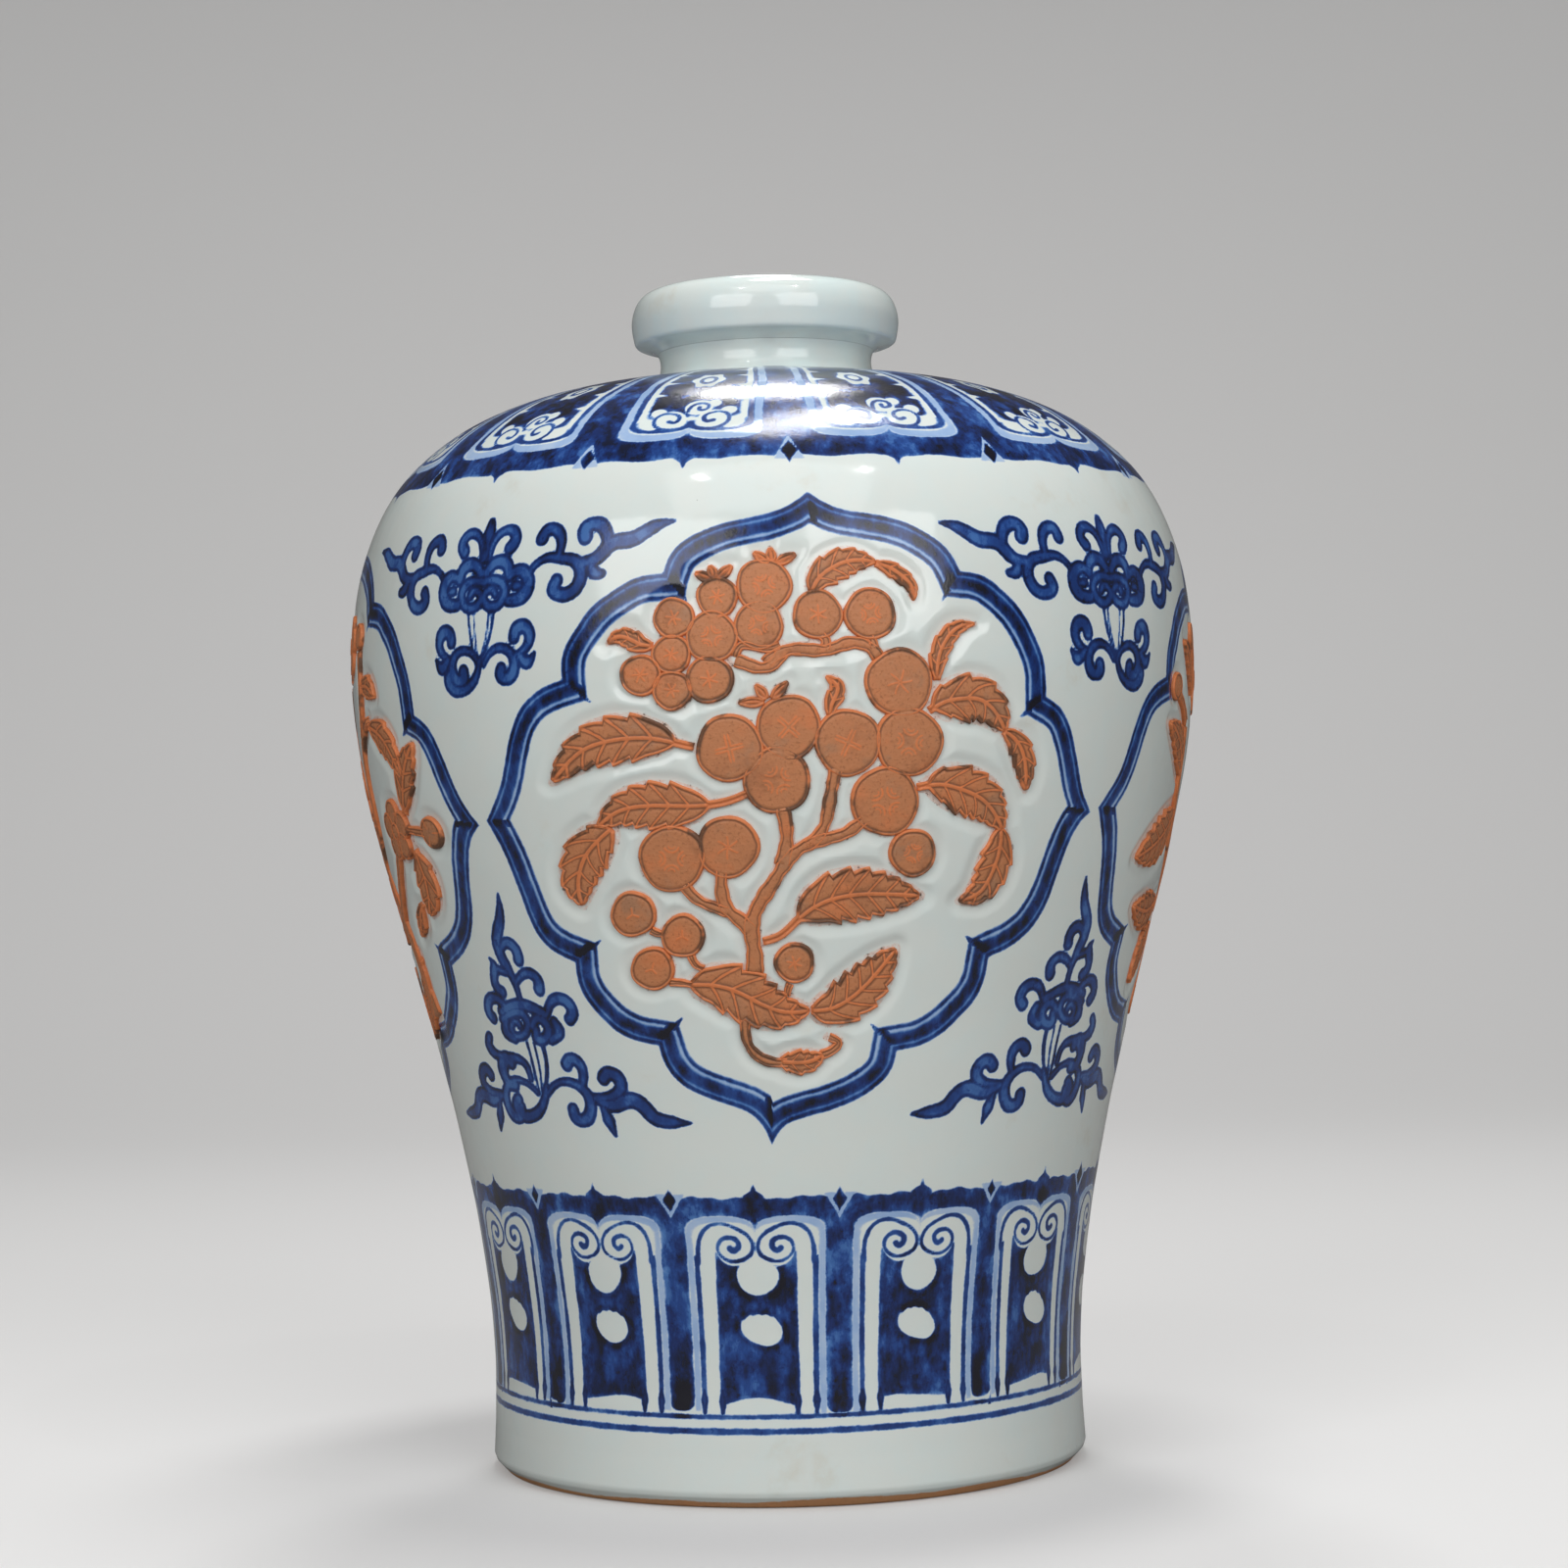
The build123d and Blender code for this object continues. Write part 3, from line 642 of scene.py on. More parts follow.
def shoulder_lappets(azimuth, arc, radius, marks):
    """Paints the twelve hanging lappets on the shoulder, with their curls and ring flowers."""
    order, half, across = lappet_place(azimuth, SHOULDER_LAPPET_EDGES, radius)
    off_middle = np.abs(across)
    edge_side = half - off_middle
    gap = np.interp(arc, [340, 358, 384, 404, 432], [8.0, 7.4, 4.6, 4.2, 3.4])
    wash_wide = np.interp(arc, [345, 404, 432], [3.0, 2.4, 1.6])
    line_in = gap + wash_wide + np.interp(arc, [345, 432], [0.9, 0.6])
    ground_in = line_in + np.interp(arc, [345, 404, 432], [3.6, 2.4, 1.2])
    low = SHOULDER_LOW_ARC + 0.45 * np.sin(across * 0.28 + order * 2.1)
    high = SHOULDER_HIGH_ARC

    def opening(inset, cusp, crest):
        return arches_depth(across, -arc, np.maximum(half - inset, 0.5), -cusp, -crest)

    outer = opening(gap, 349.4, 344.8)
    inner = opening(gap + wash_wide, 352.2, 347.8)
    ground = opening(ground_in, 358.0, 355.4)
    spike = least(arc - 333.2, 1.3 - off_middle - (336.6 - arc) * 0.32)
    flare = 2.4 - off_middle * 0.6 - (337.2 - arc)
    spike = least(most(spike, least(flare, 3.4 - off_middle)), -outer)
    frame_depth = most(least(arc - low, -outer, high - arc), spike)
    lozenge = (1 - (edge_side / 2.7 + np.abs(arc - 338.9) / 4.4)) * 1.9
    notch = least(0.25 - (edge_side * 7.8 - (345.0 - arc) * 3.6) / 8.6, arc - 335.6)
    frame_depth = most(least(frame_depth, -notch), lozenge)
    wash = least(outer, -inner, high - arc)
    wash = most(wash, least(notch, -lozenge) + 0.15)
    line = least(0.66 - np.abs(opening(line_in, 353.8, 349.2)), high - arc)
    curls = both_sides(across, arc, SHOULDER_CURL, (0.66, 0.62, 0.6, 0.75))
    bud_line = stroke_depth(across, arc, SHOULDER_BUD, (0.62, 0.58, 0.7))
    white = most(*(disc_depth(across, arc, (x, y), size) for x, y, size in CURL_DISCS))
    up = arc - FLOWER_ARC
    petals = 1 + 0.10 * np.cos(6 * np.arctan2(up / 1.7, across))
    flower = (1 - np.hypot(across / 5.0, up / 8.6) / petals) * 5.0
    flower_ring = 0.55 - np.abs((1 - np.hypot(across / 2.3, up / 3.9)) * 2.3)
    teeth = np.full_like(arc, -FAR)
    for start, side in GROUND_TEETH:
        inward = np.where(side * across > 0, edge_side - ground_in, 99.0)
        teeth = most(teeth, 1.3 - np.maximum(inward, 0) * 0.34 - np.abs(arc - start))
    ground = least(ground, 419.0 - arc, -white, -flower, -teeth)
    collar = most(0.6 - np.abs(arc - high), 0.5 - np.abs(arc - 421.6))
    lay(marks, ink=most(frame_depth, ground), wash=wash,
        line=most(line, curls, bud_line, flower_ring, collar),
        heap=most(smooth_share(lozenge, -0.3, 0.9), 0.35 * smooth_share(ground, 0.0, 1.0)))


PANEL_AZIMUTH = 2.7
PANEL_HEIGHT = 216.0
PANEL_ARC = float(arc_of(PANEL_HEIGHT))
PANEL_REACH_ACROSS, PANEL_REACH_ALONG = 122.0, 120.0
FRAME_WIDTH = 8.2
# The legs of a panel's frame, clockwise: the points of the outer line, and whether there is more
# cobalt at the leg's start and at its end
FRAME_LEGS = [
    ([(5.8, 101.1), (10.2, 97.8), (15.5, 95.4), (24.6, 93.7), (34.8, 91.2), (43.9, 86.7),
      (50.0, 81.3), (53.2, 75.5)], 1, 1),
    ([(53.2, 75.5), (61.1, 74.1), (67.7, 70.1), (74.2, 64.3), (79.3, 56.8), (83.3, 47.9),
      (84.0, 37.0)], 0, 1),
    ([(84.0, 37.0), (90.6, 33.2), (95.1, 25.9), (97.7, 17.5), (99.8, 10.1), (102.0, 5.4),
      (105.1, 1.0)], 0, 0),
    ([(105.1, 1.0), (99.7, -2.8), (95.4, -8.7), (91.1, -17.7), (86.7, -27.7), (79.9, -36.6),
      (71.9, -41.8), (63.0, -45.3)], 1, 1),
    ([(63.0, -45.3), (61.2, -53.2), (57.2, -60.0), (51.2, -65.6), (46.1, -69.5), (38.8, -72.9),
      (30.8, -74.3)], 0, 1),
    ([(30.8, -74.3), (28.8, -81.0), (22.8, -86.8), (14.3, -91.2), (6.0, -93.8), (-1.9, -96.0),
      (-6.2, -98.9), (-8.5, -102.8)], 0, 0),
    ([(-8.5, -102.8), (-10.8, -98.0), (-14.4, -93.8), (-21.4, -90.5), (-29.6, -87.5),
      (-36.7, -83.5), (-41.4, -77.7), (-43.8, -71.0)], 1, 0),
    ([(-43.8, -71.0), (-51.6, -69.4), (-58.7, -66.0), (-64.1, -61.3), (-68.4, -56.3),
      (-71.2, -50.8), (-72.1, -43.8)], 1, 0),
    ([(-72.1, -43.8), (-80.5, -40.2), (-86.9, -34.3), (-91.2, -25.5), (-95.0, -16.0),
      (-98.6, -8.2), (-101.8, -2.9), (-105.4, 2.2)], 1, 1),
    ([(-105.4, 2.2), (-102.1, 7.1), (-99.1, 11.9), (-96.6, 18.9), (-93.6, 29.0), (-88.6, 37.6),
      (-81.1, 42.6), (-73.4, 44.9)], 0, 0),
    ([(-73.4, 44.9), (-72.9, 53.0), (-68.7, 59.9), (-63.1, 66.5), (-55.4, 71.6), (-46.9, 75.3),
      (-39.1, 76.1)], 1, 0),
    ([(-39.1, 76.1), (-36.7, 82.2), (-30.8, 87.1), (-22.4, 90.7), (-12.4, 93.0), (-3.5, 95.2),
      (1.4, 97.7), (5.8, 101.1)], 1, 0),
]
FRAME_REACH = 14.0
OUTER_POINTS = 98.0


def cut_line(before, after, corner):
    """The line through a corner that halves the angle between two legs, as a point and a normal."""
    away = -before / np.linalg.norm(before) + after / np.linalg.norm(after)
    return corner, np.array([-away[1], away[0]]) / np.linalg.norm(away)


def put(values, box, mine, new):
    """Writes new values at the chosen places inside a box of an array."""
    kept = values[box]
    kept[mine] = new[mine]
    values[box] = kept


def paint_frame(across, along, marks, near):
    """Paints the twelve legs of an ogee frame.

    The mark is the signed distance inwards from the outer line, which each leg carries straight
    on past its ends as far as the line that halves the corner. A leg that was laid over its
    neighbour has more cobalt at that end, and a spike points in from each inward corner.
    """
    lines = [smooth_through(points, 40) for points, _, _ in FRAME_LEGS]
    x, y = across[near], along[near]
    rim = np.concatenate(lines)
    bearing = np.arctan2(rim[:, 0], rim[:, 1])
    order = np.argsort(bearing)
    reach = np.interp(np.arctan2(x, y), bearing[order], np.hypot(rim[:, 0], rim[:, 1])[order],
                      period=2 * np.pi)
    depth = np.where(np.hypot(x, y) < reach, FRAME_FIELD[1], FRAME_FIELD[0])
    closest = np.full(x.shape, FRAME_REACH - 0.5)
    heap = marks["heap"][near]
    ink = marks["ink"][near]
    for leg, line in enumerate(lines):
        _, dark_start, dark_end = FRAME_LEGS[leg]
        ahead, behind = lines[(leg + 1) % len(lines)], lines[leg - 1]
        first, last = line[1] - line[0], line[-1] - line[-2]
        start_corner, start_normal = cut_line(behind[-1] - behind[-2], first, line[0])
        end_corner, end_normal = cut_line(last, ahead[1] - ahead[0], line[-1])
        start_normal = start_normal * np.sign(start_normal @ first)
        end_normal = end_normal * np.sign(end_normal @ -last)
        longer = np.concatenate([
            [line[0] - first / np.linalg.norm(first) * FRAME_REACH], line,
            [line[-1] + last / np.linalg.norm(last) * FRAME_REACH],
        ])
        low, high = line.min(axis=0) - FRAME_REACH, line.max(axis=0) + FRAME_REACH
        box = (x > low[0]) & (x < high[0]) & (y > low[1]) & (y < high[1])
        if not box.any():
            continue
        place = np.stack([x[box], y[box]], axis=-1)
        from_start = (place - start_corner) @ start_normal
        from_end = (place - end_corner) @ end_normal
        begin, way = longer[:-1][None], np.diff(longer, axis=0)[None]
        offset = place[:, None, :] - begin
        share = np.clip((offset * way).sum(-1) / np.maximum((way ** 2).sum(-1), 1e-9), 0, 1)
        offset = offset - share[..., None] * way
        away = np.linalg.norm(offset, axis=-1)
        nearest = away.argmin(axis=1)
        pick = np.arange(len(nearest))
        off, along_leg = offset[pick, nearest], way[0, nearest]
        turn = along_leg[:, 0] * off[:, 1] - along_leg[:, 1] * off[:, 0]
        signed = -np.sign(turn) * away[pick, nearest]
        mine = (from_start >= -1e-6) & (from_end >= -1e-6) & (np.abs(signed) < closest[box])
        put(depth, box, mine, signed)
        put(closest, box, mine, np.abs(signed))
        ends = np.full(len(place), 9.0)
        if dark_start:
            ends = np.minimum(ends, from_start)
        if dark_end:
            ends = np.minimum(ends, from_end)
        on_band = smooth_share(signed, 0.5, 2.0) * smooth_share(signed, 8.0, 7.0)
        put(heap, box, mine, most(heap[box], smooth_share(ends, 3.8, 0.3) * on_band))
        blot = least(1.9 - np.abs(ends - 0.7), signed - 1.4, 7.4 - signed)
        put(ink, box, mine, most(ink[box], blot))
        inward = np.array([first[1], -first[0]]) / np.linalg.norm(first)
        along_cut = np.array([-start_normal[1], start_normal[0]])
        along_cut = along_cut * np.sign(along_cut @ inward)
        out = np.hypot(*line[0])
        if np.hypot(*(line[0] + along_cut)) < out < OUTER_POINTS:
            band_edge = FRAME_WIDTH / (along_cut @ inward)
            tip = line[0] + along_cut * (band_edge + 1.6)
            root = line[0] + along_cut * (band_edge - 2.4)
            ink = most(ink, stroke_depth(x, y, [root, tip], (1.15, 0.15)))
    marks["frame"][near] = np.maximum(marks["frame"][near], np.clip(depth, *FRAME_FIELD))
    marks["heap"][near] = heap
    marks["ink"][near] = ink


# The scrolls of the gaps, in mm from their middles, as points and half widths: first the strokes
# that are on both sides, then those of the middle
UPPER_SCROLL = [
    ([(-0.3, 2.6), (-5.3, 3.0), (-9.4, -0.3), (-7.5, -4.6), (-2.6, -5.0), (-0.6, -2.2),
      (-3.5, 0.2), (-5.6, -1.7)], (1.5, 1.7, 1.7, 1.5, 1.3)),
    ([(-1.6, 9.5), (-2.0, 13.0), (-5.1, 18.3), (-9.9, 18.6), (-11.6, 15.4), (-9.9, 13.0)],
     (0.8, 1.5, 2.1)),
    ([(-0.6, 23.2), (-0.6, 20.4), (0.0, 16.0), (-0.6, 9.6)], (0.3, 1.9, 0.9, 0.9)),
    ([(-1.2, 5.4), (-5.0, 8.6), (-9.4, 7.6), (-10.8, 3.8)], (1.8, 2.2, 1.8)),
    ([(-11.0, 4.4), (-15.6, 5.2), (-18.4, 1.6), (-16.0, -3.2), (-11.0, -4.0)],
     (1.6, 2.3, 2.4, 1.8)),
    ([(-13.4, 0.6), (-15.0, 0.4)], (1.6, 1.4)),
    ([(-17.1, 1.4), (-19.8, 5.9), (-25.4, 8.8), (-30.4, 8.2), (-35.6, 6.6), (-37.4, 2.7),
      (-35.6, -1.8), (-31.3, -3.4), (-27.9, -1.6), (-28.9, 1.2)], (1.0, 1.1, 1.7, 2.0, 2.0, 2.0)),
    ([(-29.0, 8.9), (-29.3, 13.0), (-27.2, 17.2), (-23.3, 17.8), (-22.0, 15.0)], (1.2, 1.8, 2.1)),
    ([(-36.7, 6.9), (-41.6, 7.8), (-45.1, 11.8), (-43.8, 16.6), (-40.0, 18.8), (-37.0, 17.4),
      (-37.6, 14.4)], (1.1, 1.5, 2.2, 2.2)),
    ([(-37.3, 6.0), (-42.7, 7.6), (-47.4, 12.2), (-52.7, 12.9), (-57.0, 14.9), (-60.4, 16.9),
      (-66.0, 18.3)], (1.4, 2.2, 2.4, 2.4, 2.0, 0.2)),
    ([(-40.0, 6.6), (-42.9, 2.6), (-44.6, 2.6)], (1.2, 2.0, 1.2)),
    ([(-14.6, -21.0), (-18.2, -19.0), (-19.6, -15.4), (-17.6, -12.4), (-14.6, -13.0),
      (-13.6, -15.6)], (1.0, 1.6, 2.2, 2.0)),
    ([(-0.9, -23.4), (-3.9, -19.9), (-8.6, -18.6), (-12.3, -20.6), (-13.4, -24.8), (-10.9, -28.0),
      (-8.0, -27.4), (-8.2, -25.2)], (0.9, 1.2, 1.6, 2.1, 2.0)),
    ([(-15.4, -21.2), (-18.4, -23.6), (-21.4, -20.8)], (1.4, 2.0, 0.4)),
]
UPPER_SCROLL_MIDDLE = [
    ([(-5.9, -6.4), (-5.0, -13.0), (-3.7, -18.1), (-2.4, -23.3)], (0.6, 0.55)),
    ([(-3.6, -6.6), (-2.8, -13.0), (-2.0, -18.1), (-1.4, -23.3)], (0.4, 0.4)),
    ([(5.2, -6.9), (4.2, -13.0), (1.9, -18.5), (-0.9, -23.3)], (0.6, 0.6)),
    ([(3.2, -6.9), (2.4, -13.0), (0.8, -18.5), (-1.2, -23.3)], (0.4, 0.4)),
    ([(-0.6, -21.6), (-3.0, -27.6), (-8.6, -31.0), (-13.9, -30.2), (-15.4, -27.4), (-13.4, -25.6)],
     (0.8, 1.5, 1.9, 2.1)),
]
LOWER_SCROLL = [
    ([(8.9, 3.6), (11.2, 7.0), (15.2, 8.4), (18.4, 6.8), (19.2, 3.7), (17.6, 1.7)],
     (1.2, 1.7, 2.0, 2.0)),
    ([(2.4, -22.9), (5.9, -20.2), (11.7, -19.0), (16.3, -20.6), (19.1, -24.2), (18.6, -28.5),
      (15.4, -31.6), (12.2, -30.6), (11.8, -28.0)], (1.0, 1.0, 1.5, 2.0, 2.1, 2.0)),
    ([(17.4, -20.2), (18.6, -15.9), (17.5, -12.4), (14.7, -11.4), (12.6, -13.2)], (1.2, 1.8, 2.1)),
    ([(21.6, -23.9), (28.7, -23.1), (31.8, -20.2), (30.7, -16.9), (27.8, -16.0), (25.8, -17.8)],
     (1.2, 1.7, 2.2, 2.0)),
    ([(21.2, -24.3), (28.1, -26.3), (33.9, -24.7), (38.1, -26.5), (41.0, -30.2), (45.0, -31.5),
      (53.0, -32.1)], (1.3, 2.2, 2.5, 2.4, 2.3, 1.8, 0.2)),
    ([(23.4, -26.4), (24.9, -31.3), (26.4, -36.4)], (0.8, 1.9, 0.3)),
    ([(11.0, 0.8), (12.2, -2.4), (8.4, -5.2)], (1.6, 2.0, 1.6)),
]
LOWER_SCROLL_MIDDLE = [
    ([(-1.5, 43.0), (-2.2, 38.0), (-3.5, 34.0), (-5.6, 30.6), (-7.2, 27.0), (-6.6, 23.0),
      (-4.6, 18.4), (-2.4, 12.6), (-1.9, 7.4)], (0.15, 1.6, 2.2, 2.2, 2.0, 1.2, 1.0)),
    ([(-6.2, 24.0), (-4.0, 26.4), (-0.9, 26.4), (1.3, 23.8), (1.3, 21.2)], (1.4, 2.0, 2.1)),
    ([(-12.6, 21.6), (-11.0, 19.4), (-12.4, 14.8), (-11.7, 11.7), (-9.8, 10.4)],
     (0.3, 2.0, 1.8, 2.0)),
    ([(-11.0, 18.6), (-7.4, 17.4), (-4.6, 17.0)], (1.4, 1.2)),
    ([(-1.9, 13.9), (1.9, 16.4), (5.6, 16.6), (7.9, 14.3), (7.5, 11.4)], (1.2, 1.7, 2.1)),
    ([(-12.3, 3.9), (-5.9, 6.0), (1.8, 5.6), (7.6, 3.2)], (1.8, 2.0, 1.8)),
    ([(-12.4, 1.2), (-7.9, 3.2), (-2.2, 3.2), (-0.6, 0.3), (-3.2, -3.4), (-8.2, -3.8),
      (-9.0, -1.4), (-5.8, 0.6), (-4.6, -0.8)], (1.7, 1.7, 1.6, 1.4, 1.2)),
    ([(0.9, -0.9), (4.8, 1.8), (7.8, -0.8), (6.0, -4.6), (2.0, -4.8), (2.6, -1.8)],
     (1.5, 1.8, 1.8, 1.5)),
    ([(-2.8, -6.4), (-2.2, -11.4), (-1.8, -17.1), (-1.4, -23.5)], (0.65, 0.55)),
    ([(0.3, -6.4), (0.7, -11.3), (0.6, -17.0), (-0.4, -22.7)], (0.5, 0.45)),
    ([(4.0, -6.3), (4.4, -11.2), (3.4, -16.9), (1.0, -23.0)], (0.9, 0.8)),
    ([(2.2, -20.8), (-1.6, -27.6), (-8.2, -31.0), (-13.2, -30.0), (-14.2, -27.0), (-12.6, -25.6)],
     (1.2, 1.7, 2.1, 2.1)),
    ([(-4.2, -18.4), (-5.7, -13.4), (-10.4, -11.6), (-15.6, -13.1), (-17.4, -17.4), (-15.9, -20.2),
      (-12.9, -20.6)], (1.0, 1.3, 1.9, 2.1, 2.1)),
    ([(-16.6, -10.9), (-20.6, -10.3), (-23.2, -7.2), (-22.0, -4.8)], (1.2, 2.0, 1.7)),
]
SCROLL_SWELLING, HAIR_STROKE = 0.35, 1.2
# Where each scroll is: azimuth, height and which way round
UPPER_PLACES = [(-39.1, 290.2, 1), (49.2, 288.4, -1), (138.2, 289.4, 1), (227.4, 289.0, -1)]
LOWER_PLACES = [(-41.6, 153.6, 1), (47.9, 154.6, -1), (137.6, 154.0, 1), (227.9, 154.2, -1)]
SCROLL_REACH_ACROSS, SCROLL_REACH_ALONG = 72.0, 50.0
PANELS_START, PANELS_END_ARC = 110.0, 335.0


def paint_scroll(azimuth, arc, radius, place, paired, middle, marks):
    """Paints one scroll: its strokes are laid out in mm from its centre, its arms on both sides."""
    centre, height, side = place
    along = arc - arc_of(height)
    across = np.radians(turned(azimuth, centre)) * radius * side
    near = (np.abs(across) < SCROLL_REACH_ACROSS) & (np.abs(along) < SCROLL_REACH_ALONG)
    if not near.any():
        return
    x, y = across[near], along[near]
    brush = np.full(x.shape, -FAR)
    strokes = [(sign, *stroke) for stroke in paired for sign in (1, -1)]
    for sign, points, widths in strokes + [(1, *stroke) for stroke in middle]:
        swelling = SCROLL_SWELLING if max(widths) > HAIR_STROKE else 0.0
        brush = most(brush, stroke_depth(sign * x, y, points, widths) + swelling)
    marks["brush"][near] = np.maximum(marks["brush"][near], brush)


def painted_wall(azimuth, arc, radius, height):
    """All the cobalt painting on a stretch of the wall, as depths inside each kind of stroke."""
    marks = unpainted(azimuth.shape)
    if height.min() < FOOT_LAPPETS_END:
        foot_lappets(azimuth, height, radius, marks)
    if arc.max() > SHOULDER_LAPPETS_START:
        shoulder_lappets(azimuth, arc, radius, marks)
    if height.max() > PANELS_START and arc.min() < PANELS_END_ARC:
        for panel in range(4):
            across = np.radians(turned(azimuth, PANEL_AZIMUTH + 90.0 * panel)) * radius
            along = arc - PANEL_ARC
            near = (np.abs(across) < PANEL_REACH_ACROSS) & (np.abs(along) < PANEL_REACH_ALONG)
            if near.any():
                paint_frame(across, along, marks, near)
        for places, paired, middle in ((UPPER_PLACES, UPPER_SCROLL, UPPER_SCROLL_MIDDLE),
                                       (LOWER_PLACES, LOWER_SCROLL, LOWER_SCROLL_MIDDLE)):
            for place in places:
                paint_scroll(azimuth, arc, radius, place, paired, middle, marks)
    for mark in ("wash", "line", "brush", "ink"):
        marks[mark] = np.clip(marks[mark], -FAR, FAR)
    return marks


# The sprigs of the panels, from each panel's middle. Fruits, blossoms and buds are a centre in
# shares of the panel's half width and half height and a radius in shares of its half width. The
# fruit spray's leaves are points in mm, half width, teeth and stalk; its branches are the half
# widths of both ends and points in mm; its crowns are a base and three tips in mm. The blossom
# spray's leaves are base, tip, width and bend in shares, its branches widths and points in shares.
PANEL_HALF_WIDTH, PANEL_HALF_HEIGHT = 95.0, 100.0
PANEL_SCALE = np.array([PANEL_HALF_WIDTH, PANEL_HALF_HEIGHT])
FRUITS = [
    (-0.24, 0.68, 0.067), (-0.09, 0.71, 0.090), (-0.38, 0.62, 0.067), (-0.26, 0.56, 0.084),
    (-0.11, 0.59, 0.080), (-0.39, 0.51, 0.064), (-0.49, 0.45, 0.067), (-0.39, 0.40, 0.064),
    (-0.27, 0.43, 0.077), (0.08, 0.62, 0.081), (0.25, 0.62, 0.085), (0.34, 0.41, 0.111),
    (-0.02, 0.28, 0.104), (0.17, 0.23, 0.108), (0.37, 0.23, 0.112), (-0.21, 0.22, 0.108),
    (-0.06, 0.12, 0.108), (0.29, 0.05, 0.112), (0.38, -0.11, 0.078), (-0.40, -0.11, 0.108),
    (-0.22, -0.08, 0.100), (-0.53, -0.28, 0.074), (-0.37, -0.35, 0.071), (-0.47, -0.45, 0.071),
    (-0.01, -0.44, 0.066),
]
FRUIT_MARKS = "sasaasssssasccacaaaasyyys"
FRUIT_LEAVES = [
    ([(-42.5, 53.8), (-46.0, 54.3), (-49.7, 56.2), (-52.8, 57.0), (-56.6, 54.9)], 3.3, 4, 0.0),
    ([(-30.7, 22.6), (-35.5, 23.8), (-41.3, 25.3), (-48.7, 26.0), (-56.7, 25.3), (-63.8, 23.2),
      (-69.3, 19.1), (-72.6, 15.5), (-74.6, 13.3)], 7.8, 6, 0.12),
    ([(-14.6, 8.2), (-21.0, 5.9), (-26.8, 5.0), (-38.5, 5.1), (-48.1, 5.1), (-54.5, 3.6),
      (-60.8, -1.0)], 7.5, 6, 0.25),
    ([(-56.3, -1.4), (-61.2, -5.6), (-64.6, -9.8), (-66.3, -14.1), (-67.0, -18.4), (-66.0, -25.2)],
     7.5, 5, 0.0),
    ([(5.8, 68.7), (8.2, 73.0), (11.7, 75.8), (17.5, 78.2), (26.2, 77.9)], 5.2, 5, 0.0),
    ([(25.6, 77.7), (29.6, 76.3), (34.1, 73.4), (37.0, 69.9), (37.4, 65.8)], 2.6, 4, 0.0),
    ([(44.2, 41.3), (44.6, 48.1), (47.1, 53.9), (50.8, 57.6), (57.0, 59.0)], 3.2, 5, 0.0),
    ([(41.4, 32.2), (46.2, 34.9), (52.2, 36.0), (57.6, 35.7), (62.4, 32.1), (66.0, 25.8)],
     7.7, 5, 0.05),
    ([(65.4, 26.1), (69.1, 23.5), (71.6, 19.4), (72.6, 13.7), (72.8, 7.4)], 4.1, 4, 0.0),
    ([(37.4, 8.9), (45.4, 9.8), (52.0, 8.1), (58.1, 5.2), (62.4, 0.5), (65.2, -4.7)], 8.0, 6, 0.1),
    ([(64.6, -3.6), (64.0, -10.5), (61.6, -17.5), (57.6, -23.5), (50.9, -26.4)], 5.5, 5, 0.0),
    ([(-10.8, -37.3), (-5.6, -35.7), (0.7, -30.3), (7.7, -25.7), (15.3, -23.7), (25.8, -23.3),
      (38.7, -24.3)], 8.6, 7, 0.25),
    ([(-33.3, -50.1), (-25.7, -50.4), (-18.9, -52.4), (-12.0, -56.1), (-4.4, -59.0), (3.9, -58.9)],
     8.6, 6, 0.0),
    ([(3.9, -58.9), (10.2, -58.4), (15.8, -55.7), (21.5, -51.0), (26.4, -45.6), (30.9, -40.3)],
     7.6, 6, 0.0),
    ([(10.8, 31.1), (11.6, 35.4), (13.2, 39.3), (9.5, 43.3)], 2.9, 3, 0.0),
    ([(-6.0, -74.5), (-0.4, -75.0), (4.5, -74.4), (8.0, -72.4)], 4.1, 4, 0.0),
]
